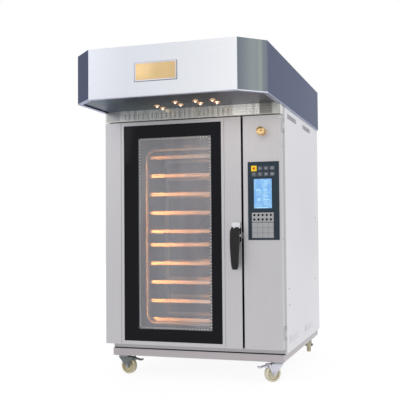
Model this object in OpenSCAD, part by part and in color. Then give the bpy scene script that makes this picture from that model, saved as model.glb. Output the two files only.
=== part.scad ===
// Rotating rack oven: insulated cabinet on four casters, glazed oven door, control
// door, steam hood, and a tray rack that hangs from a geared shaft and turns.
// Lengths are in millimetres. X runs to the right seen from the front, Y to the back,
// Z up. The origin is on the floor, under the centre of the whole oven.

/* [Cabinet] */
// Width over the side panels
body_w = 1108; // [1084:4:1180]
// Depth from the doors' front face to the back panel
body_d = 1310; // [1310:10:1600]
// Height of the cabinet above its base frame
body_h = 1461; // [1440:1:1600]
// Thickness of the outer sheets
skin_t = 2; // [1.5:0.5:3]
// Depth of the front portal behind the doors
portal_d = 49; // [40:1:70]
// Gap between the closed doors and the portal
seal_gap = 5; // [4:0.5:8]

/* [Baking chamber] */
// Clear width of the chamber
chamber_w = 780; // [750:5:800]
// Clear depth of the chamber
chamber_d = 780; // [750:5:820]
// Distance from the left outer face to the chamber
left_wall_t = 46; // [30:1:50]
// Distance from the base frame to the chamber floor
floor_t = 54; // [40:1:80]
// Distance from the chamber ceiling to the roof
ceiling_t = 98; // [60:2:110]
// Thickness of the chamber sheets
liner_t = 2; // [1.5:0.5:3]
// Width of the air duct beside the chamber
duct_w = 50; // [40:1:60]
// Thickness of the insulation right of the duct
duct_ins_t = 35; // [25:1:45]
// Depth of the heater plenum behind the chamber
plenum_d = 190; // [180:5:240]
// Thickness of the insulation behind the plenum
rear_ins_t = 40; // [30:1:70]

/* [Oven door] */
// Width of the oven door
door_w = 870; // [840:2:900]
// Thickness of both doors
door_t = 66; // [60:1:80]
// Gap between the oven door and the control door
door_side_gap = 13; // [10:0.5:20]
// Height of the sill that shows below the doors
sill_h = 38; // [25:1:60]
// How far the sill's left end stands in from the left side
sill_in = 25; // [0:1:40]
// Gap between the doors and the fascia band
door_top_gap = 6; // [4:0.5:12]
// Width of the glazed opening inside the bead
glass_w = 626; // [560:1:650]
// Width of the raised bead around the glass
bead_w = 18; // [12:1:24]
// Height of the door's top and bottom rails
rail_h = 22; // [20:1:40]
// Thickness of each glass pane
pane_t = 5; // [4:1:8]
// How far each pane reaches over its seat
pane_lap = 10; // [6:1:12]
// Clear width of the window in the inner door frame
window_w = 465; // [400:1:520]
// Clear height of the window
window_h = 1160; // [1000:10:1240]
// Shift of the window towards the handle
window_off = 15; // [0:1:24]
// Depth of the seam that marks off the bead
seam_d = 3; // [2:0.5:3.5]

/* [Hinges] */
// Height of each hinge
hinge_h = 80; // [60:2:120]
// Radius of the hinge barrels
barrel_r = 6; // [5:0.5:8]
// Radius of the hinge pins
hinge_pin_r = 3; // [2:0.5:4]
// Thickness of the hinge leaves
leaf_t = 3; // [2:0.5:4]
// Length of each hinge leaf
leaf_l = 38; // [25:1:42]
// Distance of the oven door's upper hinge from the door's top
door_hinge_in = 140; // [60:5:200]
// Distance of the oven door's lower hinge from the door's bottom
door_hinge_low = 46; // [44:1:200]
// Distance of the control door's upper hinge from the door's top
ctrl_hinge_in = 55; // [50:5:150]
// Distance of the control door's lower hinge from the door's bottom
ctrl_hinge_low = 90; // [50:5:150]

/* [Door handle] */
// Height of the handle's pivot above the floor
handle_z = 862; // [800:2:1000]
// Length of the grip below its pivot
grip_drop = 197; // [150:1:230]
// Length of the grip above its pivot
grip_rise = 49; // [40:1:55]
// Width of the grip at its top
grip_w = 58; // [50:1:62]
// Distance of the pivot from the door's face
grip_reach = 44; // [42:1:55]
// Radius of the pivot pin
grip_pin_r = 6; // [4:0.5:8]
// Travel of the latch bolt
bolt_travel = 9; // [6:0.5:10]

/* [Control door] */
// Width of the control panel plate
panel_w = 185; // [170:1:195]
// Height of the control panel plate
panel_h = 455; // [430:1:500]
// Height of the plate's lower edge above the floor
panel_z = 835; // [760:5:900]
// Height of the round door knob above the floor
knob_z = 1466; // [1400:1:1500]
// Radius of the round door knob
knob_r = 25; // [18:1:30]
// Travel of the start button
button_travel = 2.5; // [1.5:0.5:4]

/* [Steam hood] */
// Width of the hood
hood_w = 1126; // [1112:2:1200]
// Height of the hood
hood_h = 283; // [240:1:340]
// How far the hood reaches out over the doors
hood_over = 488; // [400:2:560]
// Length of the hood's cut front corners, along each side
hood_cut = 133; // [80:1:180]
// Width of the lip around the hood's lower edge
lip_w = 25; // [15:1:35]
// Height of the hood's underside above its lower edge
soffit_rise = 8; // [6:1:30]
// Height of the slotted fascia band below the hood
band_h = 58; // [50:1:80]
// Outer radius of the flue spigot
flue_r = 75; // [50:1:100]
// Length of the flue spigot
flue_l = 55; // [40:1:90]

/* [Rack] */
// Overall width of the rack
rack_w = 600; // [560:5:610]
// Overall depth of the rack
rack_d = 400; // [360:5:410]
// Diameter of the rack's tubes
tube_d = 25; // [20:1:30]
// Bend radius of the tubes' centre line
bend_r = 60; // [45:1:90]
// Height of the lowest tube's centre above the chamber floor
rack_lift = 77; // [70:1:90]
// Height of the lowest runner above the lowest tube's centre
runner_lift = 22; // [22:1:40]
// Spacing of the runners
runner_pitch = 121; // [110:1:123]
// Wider-spaced middle gap between the two groups of runners
runner_mid = 86; // [70:1:110]
// Runners in each of the two groups
runner_n = 5; // [3:1:5]
// Height and width of a runner angle
runner_leg = 22; // [16:1:26]
// Thickness of a runner angle
runner_t = 2; // [1.5:0.5:3]
// Radius of the drive shaft
shaft_r = 15; // [12:1:18]

/* [Fan] */
// Radius of the circulation fan
fan_r = 170; // [140:2:180]
// Depth of the fan's blades
fan_depth = 70; // [50:2:80]
// Number of fan blades
blade_n = 12; // [8:1:16]
// Radius of the front heater ring's centre line
heater_r = 215; // [205:1:240]
// Growth in radius from one heater ring to the next
heater_step = 14; // [12:1:20]
// Number of heater rings
heater_n = 3; // [2:1:4]

/* [Base and casters] */
// Height of the base frame's tubes
base_h = 44; // [40:1:80]
// Width of the base frame's tubes
rail_w = 50; // [40:1:60]
// Wall of the base frame's tubes
rail_wall = 3; // [2:0.5:4]
// How far the base frame stands in from the cabinet's sides
base_in = 12; // [4:1:30]
// How far the base frame stands in front of the side panels
base_out = 39; // [10:1:45]
// Distance of the caster's swivel axis from the frame's edges
caster_in = 55; // [50:1:90]
// Radius of the caster wheels
wheel_r = 50; // [45:1:55]
// Width of the caster wheels
wheel_w = 34; // [28:1:40]
// Offset of the wheel's axle from the swivel axis
trail = 30; // [26:1:36]
// Height from the top of the wheel to the base frame
caster_head = 20; // [20:1:36]
// Radius of the axles
axle_r = 5; // [4:0.5:6]

/* [Hidden] */
$fn = 64;

// Clearances: a turning fit, a seat, and the overshoot of a cut
run_gap = 0.1;
seat = 0.3;
cut = 1;

// Outer planes of the cabinet
x_left = -body_w / 2;
x_right = body_w / 2;
total_d = hood_over + body_d;
y_hood = -total_d / 2;
y_face = y_hood + hood_over;
y_portal = y_face + door_t + seal_gap;
y_cab = y_portal + portal_d;
y_back = total_d / 2;
z_base = 2 * wheel_r + caster_head;
z_body = z_base + base_h;
z_roof = z_body + body_h;
z_hood = z_roof + hood_h;
z_soffit = z_roof + soffit_rise;

// Chamber, duct, plenum and electrics bay
x_ch_l = x_left + left_wall_t;
x_ch_r = x_ch_l + chamber_w;
x_mid = x_ch_l + chamber_w / 2;
x_duct = x_ch_r + duct_w;
x_bay = x_duct + duct_ins_t;
y_ch_b = y_cab + chamber_d;
y_mid = y_cab + chamber_d / 2;
y_plenum = y_ch_b + plenum_d;
y_ins_b = y_plenum + liner_t + rear_ins_t;
z_ch_f = z_body + floor_t;
z_ch_t = z_roof - ceiling_t;
mouth_in = 6;
x_mouth_l = x_ch_l + mouth_in;
x_mouth_r = x_ch_r - mouth_in;
z_mouth_b = z_ch_f + mouth_in;
z_mouth_t = z_ch_t - mouth_in;

// Doors
x_door_r = x_left + door_w;
x_ctrl_l = x_door_r + door_side_gap;
z_door_b = z_body + sill_h;
z_door_t = z_roof - band_h - door_top_gap;
y_door_b = y_face + door_t;
x_glass_l = x_mid - glass_w / 2;
x_glass_r = x_mid + glass_w / 2;
z_glass_b = z_door_b + rail_h;
z_glass_t = z_door_t - rail_h;
liner_in = 10;

// Hinges: the axis lies in the outer face of the leaves, halfway across the gap
hinge_x = body_w / 2 + leaf_t;
hinge_y = y_door_b + seal_gap / 2;
knuckle_gap = 1;
knuckle_h = hinge_h / 4;
relief_r = barrel_r + 1.5;
tab_l = barrel_r + 0.5;
door_hinge_z = [z_door_b + door_hinge_low, z_door_t - door_hinge_in];
ctrl_hinge_z = [z_door_b + ctrl_hinge_low, z_door_t - ctrl_hinge_in];

// Handle and its latch
grip_x = x_door_r - grip_w / 2 + 1;
grip_y = y_face - grip_reach;
base_plate_t = 6;
boss_h = 18;
lug_w = 24;
stile_l = x_glass_r + pane_lap + seat + skin_t;
stile_w = x_door_r - skin_t - stile_l;
bolt_back = 0.47 * stile_w;
guide_back = 0.45 * stile_w;
guide_front = 0.24 * stile_w;
bolt_w = 12;
bolt_h = 24;
bolt_y = y_face + door_t / 2;
strike_gap = 2;
strike_arm = 4;
strike_x0 = x_door_r + strike_gap;
strike_x1 = x_ctrl_l - strike_gap + 0.5;

// Control door: places on the plate, measured from its lower left corner
panel_x = x_ctrl_l + 28;
panel_proud = 4;
panel_boss_d = 18;
panel_boss_in = 8;
button_c = [38, panel_h - 39];
button_w = 32;
icon_pitch = [36, 32];
icon_size = [28, 24];
display_lo = [36, 183];
display_size = [106, 172];
pad_lo = [22, 11];
pad_size = [130, 148];
dot_lo = [37.5, 119];
dot_pitch = [24.5, 25.7];
dot_r = 6;
key_lo = [24, 12.5];
key_pitch = [32, 29.6];
key_size = [30, 27.6];
key_t = 0.8;
pocket_t = 1.5;
ctrl_w = x_right - x_ctrl_l;
knob_in = 0.511 * ctrl_w;
knob_x = x_ctrl_l + knob_in;
spindle_r = 5;
cam_r = 14;
tongue_y = y_face + 39;
tongue_t = 8;
tongue_h = 16;
tongue_reach = 9;

// Rack, centred on the chamber
tube_r = tube_d / 2;
rack_x = rack_w / 2 - tube_r;
rack_y = rack_d / 2 - tube_r;
z_rack_b = z_ch_f + rack_lift;
z_run_0 = z_rack_b + runner_lift;
z_run_top = z_run_0 + 2 * (runner_n - 1) * runner_pitch + runner_mid;
z_rack_t = z_run_top + 50;
tie_r = 10;
hanger_w = 60;
hanger_t = 10;
saddle = tube_r + 4.5;
z_hanger = z_rack_t + tube_r + seat;
z_flange = z_hanger + hanger_t;
pivot_r = 10;
socket_h = 40;
bearing_h = 30;
sleeve_r = shaft_r + 7;
flange_r = 38;
flange_t = 8;
collar_w = 9;
collar_h = 14;
shaft_out = 30;
gearbox_w = 140;
gearbox_h = 90;
foot_t = 12;
foot_h = 8;
foot_out = 24;
drive_r = 38;
drive_l = 146;
drive_flange = [[44, 14], [52, 10]];
z_gearbox = z_roof + bearing_h + 5;

// Fan and heaters
z_fan = (z_ch_f + z_ch_t) / 2;
fan_shaft_r = 9;
blade_in = 72;
blade_w = 66;
blade_t = 2.5;
blade_lean = 25;
y_fan = y_ch_b + 75;
inlet_r = fan_r - 30;
motor_l = 150;
motor_r = 65;
motor_foot = 150;
motor_foot_t = 10;
motor_cap = 45;
fin_h = 8;
fin_t = 4;
standoff_r = 8;
standoff_c = 58;
heater_tube_r = 4.25;
heater_leg_r = 3.5;

// Base frame and casters
base_x = body_w / 2 - base_in;
y_base = y_cab - base_out;
y_base_b = y_back - base_in;
plate_t = 4;
race_h = 10;
race_r = 36;
kingpin_r = 6;
fork_t = 4;
z_race = z_base - plate_t - race_h;
caster_x = base_x - caster_in;
// The rear casters stand in so far that their wheels turn clear of the back panel's plane
wheel_room = 3;
caster_y = [y_base + caster_in, y_back - trail - wheel_r - wheel_room];
leg_t = 3;
leg_gap = 1;
leg_y = wheel_w / 2 + leg_gap;
ear = [trail + 30, 2 * wheel_r + 1];
ear_r = 7;
fork_back = race_r - 2;
fork_front = race_r + 12;
pedal_pin_r = 3;
pedal_l = 58;
pedal_slope = 12;
shoe_h = 12;

// Hood
half_cut = tan(22.5);
hood_x = hood_w / 2;
flue_in = 350;
flue_y = y_back - flue_in;

// A box from its low corner to its high corner
module block(x0, x1, y0, y1, z0, z1) {
    translate([x0, y0, z0]) cube([x1 - x0, y1 - y0, z1 - z0]);
}

// A round bar along Y from y0 to y1
module bar_y(r, y0, y1) {
    translate([0, y1, 0]) rotate([90, 0, 0]) cylinder(r = r, h = y1 - y0);
}

// A round bar along X from x0 to x1
module bar_x(r, x0, x1) {
    translate([x0, 0, 0]) rotate([0, 90, 0]) cylinder(r = r, h = x1 - x0);
}

// A flat shape drawn in X and Z, from y0 back to y1
module upright(y0, y1) {
    translate([0, y1, 0]) rotate([90, 0, 0]) linear_extrude(y1 - y0) children();
}

// A rectangle with round corners, centred
module round_rect(w, h, r) {
    hull() for (x = [-1, 1], z = [-1, 1])
        translate([x * (w / 2 - r), z * (h / 2 - r)]) circle(r = r, $fn = 32);
}

// ---------------------------------------------------------------- base and casters

// A closed square tube of the base frame, as wide as the given box
module frame_tube(x0, x1, y0, y1) {
    difference() {
        block(x0, x1, y0, y1, z_base, z_body);
        block(x0 + rail_wall, x1 - rail_wall, y0 + rail_wall, y1 - rail_wall,
            z_base + rail_wall, z_body - rail_wall);
    }
}

module base_frame() {
    color("silver") {
        frame_tube(-base_x, base_x, y_base, y_base + rail_w);
        frame_tube(-base_x, base_x, y_base_b - rail_w, y_base_b);
        for (x = [-base_x, base_x - rail_w])
            frame_tube(x, x + rail_w, y_base + rail_w, y_base_b - rail_w);
        frame_tube(-base_x + rail_w, base_x - rail_w, y_mid - rail_w / 2, y_mid + rail_w / 2);
    }
}

// Mounting plate, bearing race and kingpin of one caster, about its swivel axis
module caster_plate() {
    translate([0, 0, z_base - plate_t]) linear_extrude(plate_t) round_rect(100, 86, 6);
    translate([0, 0, z_race]) cylinder(r = race_r, h = race_h);
    translate([0, 0, z_race - fork_t - 2 * seat - 5]) {
        cylinder(r = kingpin_r, h = fork_t + 2 * seat + 5);
        cylinder(r = kingpin_r + 4, h = 5);
    }
}

module caster_plates() {
    color("lightslategray")
        for (x = [-caster_x, caster_x], y = caster_y) translate([x, y, 0]) caster_plate();
}

// Places its children at one caster; local +X points from the swivel axis to the wheel
module at_caster(x, y, turn) {
    translate([x, y, 0]) rotate([0, 0, turn]) children();
}

// Side plate of a fork, drawn in X and Z; with ears where a brake pedal is carried
module fork_leg(with_ear) {
    z_top = z_race - seat;
    difference() {
        union() {
            hull() {
                translate([trail, wheel_r]) circle(r = 13, $fn = 32);
                translate([-fork_back, z_top - fork_t]) square([fork_back + fork_front, fork_t]);
            }
            if (with_ear) hull() {
                translate([trail, wheel_r]) circle(r = 13, $fn = 32);
                translate(ear) circle(r = ear_r, $fn = 32);
            }
        }
        translate([trail, wheel_r]) circle(r = axle_r - 1);
    }
}

module fork(with_ear) {
    z_top = z_race - seat;
    difference() {
        union() {
            translate([0, 0, z_top - fork_t]) cylinder(r = race_r + 2, h = fork_t);
            block(-fork_back, trail - 4, -leg_y - leg_t, leg_y + leg_t, z_top - fork_t, z_top);
        }
        translate([0, 0, z_top - fork_t - cut])
            cylinder(r = kingpin_r + run_gap, h = fork_t + 2 * cut);
    }
    upright(-leg_y - leg_t, -leg_y) fork_leg(with_ear);
    upright(leg_y, leg_y + leg_t) fork_leg(with_ear);
    translate([trail, 0, wheel_r]) {
        bar_y(axle_r, -leg_y - leg_t - 8, leg_y + leg_t + 8);
        for (s = [-1, 1]) translate([0, s * (leg_y + leg_t + 3), 0])
            bar_y(axle_r + 4, -3, 3);
    }
    if (with_ear) translate([ear[0], 0, ear[1]])
        bar_y(pedal_pin_r, -leg_y - leg_t - 1, leg_y + leg_t + 1);
}

// Wheel with a hub, a dished web and a tread with rounded shoulders
module wheel() {
    w = wheel_w / 2;
    web = w - 10;
    translate([trail, 0, wheel_r]) rotate([90, 0, 0]) rotate_extrude() polygon([
        [axle_r + run_gap, -w], [15, -w], [18, -web], [wheel_r - 17, -web],
        [wheel_r - 12, -w + 2], [wheel_r - 4, -w + 2], [wheel_r, -w + 6],
        [wheel_r, w - 6], [wheel_r - 4, w - 2], [wheel_r - 12, w - 2],
        [wheel_r - 17, web], [18, web], [15, w], [axle_r + run_gap, w]]);
}

// Brake pedal, pressed down: a barrel on the fork's pin, a tread plate with an upturned
// edge, and a shoe that bears on the wheel's tread
module brake_pedal() {
    w = leg_y - 1;
    difference() {
        translate([ear[0], 0, ear[1]]) {
            bar_y(pedal_pin_r + 4, -w, w);
            rotate([0, pedal_slope, 0]) {
                translate([4.5, -w + 1, -2]) cube([pedal_l, 2 * w - 2, 4]);
                translate([pedal_l, -w + 2, -1]) cube([8, 2 * w - 4, 9]);
                translate([9, -w + 4, -shoe_h]) cube([12, 2 * w - 8, shoe_h]);
            }
        }
        translate([ear[0], 0, ear[1]]) bar_y(pedal_pin_r + run_gap, -w - cut, w + cut);
    }
}

turn_fl = -8;
turn_fr = 223;
turn_rl = 65;
turn_rr = 100;
module fork_fl() color("dimgray") at_caster(-caster_x, caster_y[0], turn_fl) fork(true);
module fork_fr() color("dimgray") at_caster(caster_x, caster_y[0], turn_fr) fork(true);
module fork_rl() color("dimgray") at_caster(-caster_x, caster_y[1], turn_rl) fork(false);
module fork_rr() color("dimgray") at_caster(caster_x, caster_y[1], turn_rr) fork(false);
module wheel_fl() color("cornsilk") at_caster(-caster_x, caster_y[0], turn_fl) wheel();
module wheel_fr() color("cornsilk") at_caster(caster_x, caster_y[0], turn_fr) wheel();
module wheel_rl() color("cornsilk") at_caster(-caster_x, caster_y[1], turn_rl) wheel();
module wheel_rr() color("cornsilk") at_caster(caster_x, caster_y[1], turn_rr) wheel();
module brake_pedal_fl() color("dimgray") at_caster(-caster_x, caster_y[0], turn_fl) brake_pedal();
module brake_pedal_fr() color("dimgray") at_caster(caster_x, caster_y[0], turn_fr) brake_pedal();

// ---------------------------------------------------------------- outer cabinet

module floor_pan() {
    color("silver") block(x_left + skin_t, x_right - skin_t, y_cab, y_back - skin_t,
        z_body, z_body + skin_t);
}

// Louvres pressed into a side panel: a slot in the sheet under each pressed hood
louvre_n = 5;
louvre_top_n = 3;
louvre_l = 278;
louvre_pitch = 10;
louvre_h = 5;
louvre_out = 4;
louvre_y0 = 229;
louvre_step = 512;
louvre_low = 52;
louvre_high = 58;
louvre_y = [y_cab + louvre_y0, y_cab + louvre_y0 + louvre_step];
louvre_rows = concat(
    [for (i = [0 : louvre_n - 1]) z_body + louvre_low + i * louvre_pitch],
    [for (i = [0 : louvre_top_n - 1]) z_roof - louvre_high + i * louvre_pitch]);

module louvre_slots(x0, x1) {
    for (y = louvre_y, z = louvre_rows)
        block(x0, x1, y - louvre_l / 2, y + louvre_l / 2, z, z + louvre_h);
}

module louvre_hoods() {
    for (y = louvre_y, z = louvre_rows)
        translate([x_right, y + louvre_l / 2, z + 1])
            rotate([90, 0, 0]) linear_extrude(louvre_l)
                polygon([[-0.5, louvre_h], [0, louvre_h], [louvre_out, 1], [louvre_out, 0],
                    [louvre_out - 1, 0], [-0.5, louvre_h - 1]]);
}

module left_panel() {
    color("gainsboro") block(x_left, x_left + skin_t, y_cab, y_back, z_body, z_roof);
}

module right_panel() {
    color("gainsboro") {
        difference() {
            block(x_right - skin_t, x_right, y_cab, y_back, z_body, z_roof);
            louvre_slots(x_right - skin_t - cut, x_right + cut);
        }
        louvre_hoods();
    }
}

// Back sheet with a vent field for the motor bay and the bare gland of the supply
gland_x = x_right - 120;
gland_z = z_body + 160;
module rear_panel() {
    color("gainsboro") {
        difference() {
            block(x_left + skin_t, x_right - skin_t, y_back - skin_t, y_back, z_body, z_roof);
            for (i = [0 : 9], s = [-1, 1])
                block(x_mid + s * 130 - 100, x_mid + s * 130 + 100, y_back - skin_t - cut,
                    y_back + cut, z_fan - 120 + i * 26, z_fan - 112 + i * 26);
            translate([gland_x, 0, gland_z]) bar_y(12, y_back - skin_t - cut, y_back + cut);
        }
        translate([gland_x, 0, gland_z]) difference() {
            bar_y(20, y_back - skin_t - 24, y_back - skin_t);
            bar_y(12, y_back - skin_t - 24 - cut, y_back - skin_t + cut);
        }
    }
}

module roof_panel() {
    color("silver") difference() {
        block(x_left + skin_t, x_right - skin_t, y_cab, y_back - skin_t,
            z_roof - skin_t, z_roof);
        translate([x_mid, y_mid, z_roof - skin_t - cut])
            cylinder(r = sleeve_r + seat, h = skin_t + 2 * cut);
    }
}

// Clearance for a hinge's turning knuckles, cut from what the hinge is fixed to
module hinge_relief(side, zs) {
    for (z = zs) translate([side * hinge_x, hinge_y, z - hinge_h / 2 - 2])
        cylinder(r = relief_r, h = hinge_h + 4);
}

// Portal around the oven mouth and the electrics opening, made of folded members that
// meet in fine seams: head, sill, two jambs, a mullion and two short rails. Its lower
// flange stands a little above the base frame.
portal_seam = 0.1;
x_serv_l = x_bay + 6;
x_serv_r = x_right - 14;
z_serv_b = z_door_b + 60;
z_serv_t = z_door_t - 50;
z_sill = z_body + 8;
module portal_seams() {
    for (z = [z_mouth_t - portal_seam, z_mouth_b])
        block(x_left - cut, x_right + cut, y_portal - cut, y_cab + cut, z, z + portal_seam);
    for (x = [x_serv_l - portal_seam, x_serv_r])
        block(x, x + portal_seam, y_portal - cut, y_cab + cut, z_mouth_b, z_mouth_t);
}

module front_portal() {
    color("silver") difference() {
        folded_portal();
        portal_seams();
    }
}

module folded_portal() {
    union() {
        difference() {
            block(x_left, x_right, y_portal, y_cab, z_body, z_roof);
            block(x_left + skin_t, x_right - skin_t, y_portal - cut, y_cab + cut,
                z_body - cut, z_sill);
            block(x_left + skin_t, x_right - skin_t, y_portal + skin_t, y_cab + cut,
                z_sill + skin_t, z_roof - skin_t);
            block(x_mouth_l, x_mouth_r, y_portal - cut, y_cab, z_mouth_b, z_mouth_t);
            block(x_serv_l, x_serv_r, y_portal - cut, y_cab, z_serv_b, z_serv_t);
            block(x_left - cut, x_left + sill_in, y_portal - cut, y_cab + cut, z_body - cut,
                z_door_b);
            hinge_relief(-1, door_hinge_z);
            hinge_relief(1, ctrl_hinge_z);
        }
        block(x_left + sill_in, x_left + sill_in + skin_t, y_portal, y_cab, z_body, z_door_b);
        block(x_left, x_left + sill_in + skin_t, y_portal, y_cab, z_door_b, z_door_b + skin_t);
        difference() {
            block(x_mouth_l - skin_t, x_mouth_r + skin_t, y_portal + skin_t, y_cab,
                z_mouth_b - skin_t, z_mouth_t + skin_t);
            block(x_mouth_l, x_mouth_r, y_portal, y_cab + cut, z_mouth_b, z_mouth_t);
        }
    }
}

// Fixed half of one hinge: leaf on the portal's side, two knuckles and the pin
module fixed_hinge(side) {
    translate([side * hinge_x, hinge_y, -hinge_h / 2]) {
        for (z = [0, hinge_h - knuckle_h]) {
            translate([0, 0, z]) cylinder(r = barrel_r, h = knuckle_h);
            block(side > 0 ? -leaf_t : 0, side > 0 ? 0 : leaf_t, 0, tab_l, z, z + knuckle_h);
        }
        cylinder(r = hinge_pin_r, h = hinge_h);
        block(side > 0 ? -leaf_t : 0, side > 0 ? 0 : leaf_t, tab_l, leaf_l, 0, hinge_h);
    }
}

// Turning half of one hinge: leaf on the door's side and the middle knuckle
module moving_hinge(side) {
    z0 = knuckle_h + knuckle_gap;
    z1 = hinge_h - knuckle_h - knuckle_gap;
    translate([side * hinge_x, hinge_y, -hinge_h / 2]) {
        difference() {
            union() {
                translate([0, 0, z0]) cylinder(r = barrel_r, h = z1 - z0);
                block(side > 0 ? -leaf_t : 0, side > 0 ? 0 : leaf_t, -tab_l, 0, z0, z1);
            }
            cylinder(r = hinge_pin_r + run_gap, h = hinge_h);
        }
        block(side > 0 ? -leaf_t : 0, side > 0 ? 0 : leaf_t, -leaf_l, -tab_l, 0, hinge_h);
    }
}

module hinge_brackets() {
    color("gray") {
        for (z = door_hinge_z) translate([0, 0, z]) fixed_hinge(-1);
        for (z = ctrl_hinge_z) translate([0, 0, z]) fixed_hinge(1);
    }
}

module door_hinge_leaves() {
    color("gray") for (z = door_hinge_z) translate([0, 0, z]) moving_hinge(-1);
}

// Strikes in the gap between the doors, open to the front, above and below each bolt
module latch_strikes() {
    color("gray") for (c = [[handle_z, bolt_h, bolt_y - bolt_w], [knob_z, tongue_h, tongue_y - 4]]) {
        arm = c[1] / 2 + 2;
        block(strike_x0, strike_x1, y_portal - strike_arm, y_portal,
            c[0] - arm - strike_arm, c[0] + arm + strike_arm);
        for (s = [-1, 1]) translate([0, 0, c[0] + s * (arm + strike_arm / 2)])
            block(strike_x0, strike_x1, c[2], y_portal - strike_arm,
                -strike_arm / 2, strike_arm / 2);
    }
}

// Door seal round the mouth, with black strips behind the gaps beside and above the door
seal_w = 17;
seal_t = seal_gap - seat;
module door_gasket() {
    color("black") {
        difference() {
            block(x_mouth_l - 3 - seal_w, x_mouth_r + 3 + seal_w, y_portal - seal_t, y_portal,
                z_mouth_b - 3 - seal_w, z_mouth_t + 3 + seal_w);
            block(x_mouth_l - 3, x_mouth_r + 3, y_portal - seal_t - cut, y_portal + cut,
                z_mouth_b - 3, z_mouth_t + 3);
        }
        block(x_left + 12, x_door_r - 5, y_portal - seal_t, y_portal,
            z_door_t - 8, z_door_t + door_top_gap - seat);
        difference() {
            block(x_door_r - 4, x_ctrl_l + 4, y_portal - seal_t, y_portal,
                z_door_b + 4, z_door_t - 4);
            for (z = [handle_z, knob_z])
                block(x_door_r - 4 - cut, x_ctrl_l + 4 + cut, y_portal - seal_t - cut,
                    y_portal + cut, z - 24, z + 24);
        }
    }
}

// ---------------------------------------------------------------- baking chamber

module chamber_left_wall() {
    color("darkgray") block(x_ch_l - liner_t, x_ch_l, y_cab, y_plenum, z_ch_f, z_ch_t);
}

// Slotted wall between the chamber and the air duct
slot_cols = 9;
slot_rows = 11;
slot_w = 8;
slot_h = 60;
slot_in = 56;
slot_low = 40;
module duct_wall() {
    dy = (chamber_d - 2 * slot_in - slot_w) / (slot_cols - 1);
    dz = (z_ch_t - z_ch_f - 2 * slot_low - slot_h) / (slot_rows - 1);
    color("darkgray") difference() {
        block(x_ch_r, x_ch_r + liner_t, y_cab, y_ch_b, z_ch_f, z_ch_t);
        for (i = [0 : slot_cols - 1], k = [0 : slot_rows - 1])
            translate([0, y_cab + slot_in + i * dy, z_ch_f + slot_low + k * dz])
                block(x_ch_r - cut, x_ch_r + liner_t + cut, 0, slot_w, 0, slot_h);
    }
}

// Baffle behind the chamber: fan inlet with a turned-in nozzle, and return slots
vent_in = 40;
vent_step = 36;
vent_w = 10;
vent_low = 80;
vent_h = 100;
vent_pitch = 150;
vent_rows = floor((z_ch_t - z_ch_f - vent_low) / vent_pitch);
nozzle_in = 14;
nozzle_l = 40;
module back_baffle() {
    color("darkgray") {
        difference() {
            block(x_ch_l, x_ch_r, y_ch_b, y_ch_b + liner_t, z_ch_f, z_ch_t);
            translate([x_mid, 0, z_fan])
                bar_y(inlet_r - liner_t, y_ch_b - cut, y_ch_b + liner_t + cut);
            for (s = [-1, 1], c = [0 : 2], k = [0 : vent_rows - 1])
                translate([x_mid + s * (chamber_w / 2 - vent_in - vent_step * c), 0, 0])
                    block(-vent_w / 2, vent_w / 2, y_ch_b - cut, y_ch_b + liner_t + cut,
                        z_ch_f + vent_low + k * vent_pitch,
                        z_ch_f + vent_low + k * vent_pitch + vent_h);
        }
        translate([x_mid, y_ch_b + liner_t, z_fan]) rotate([-90, 0, 0]) rotate_extrude()
            polygon([[inlet_r, 0], [inlet_r - nozzle_in, nozzle_l],
                [inlet_r - nozzle_in - liner_t, nozzle_l], [inlet_r - liner_t, 0]]);
    }
}

module ceiling_plate() {
    color("darkgray") difference() {
        block(x_ch_l - liner_t, x_duct, y_cab, y_plenum + liner_t, z_ch_t, z_ch_t + liner_t);
        translate([x_mid, y_mid, z_ch_t - cut])
            cylinder(r = shaft_r + 2, h = liner_t + 2 * cut);
    }
}

module chamber_floor() {
    color("darkgray") block(x_ch_l - liner_t, x_duct, y_cab, y_plenum + liner_t,
        z_ch_f - liner_t, z_ch_f);
}

// Places its children at both legs of a heater ring
module at_ring_legs(i) {
    for (s = [-1, 1]) rotate([0, 90 - 24 * i - s * 6, 0])
        translate([heater_r + i * heater_step, 0, 0]) children();
}

module at_heater_legs() {
    for (i = [0 : heater_n - 1]) at_ring_legs(i) children();
}

// Rear wall of the plenum, with the studs that carry the fan motor
module rear_wall() {
    color("darkgray") {
        difference() {
            block(x_ch_l - liner_t, x_duct, y_plenum, y_plenum + liner_t, z_ch_f, z_ch_t);
            translate([x_mid, 0, z_fan]) {
                bar_y(fan_shaft_r + 6, y_plenum - cut, y_plenum + liner_t + cut);
                at_heater_legs() bar_y(heater_leg_r + seat, y_plenum - cut, y_plenum + liner_t + cut);
            }
        }
        translate([x_mid, 0, z_fan]) for (x = [-1, 1], z = [-1, 1])
            translate([x * standoff_c, 0, z * standoff_c])
                bar_y(standoff_r, y_plenum + liner_t, y_ins_b);
    }
}

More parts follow.
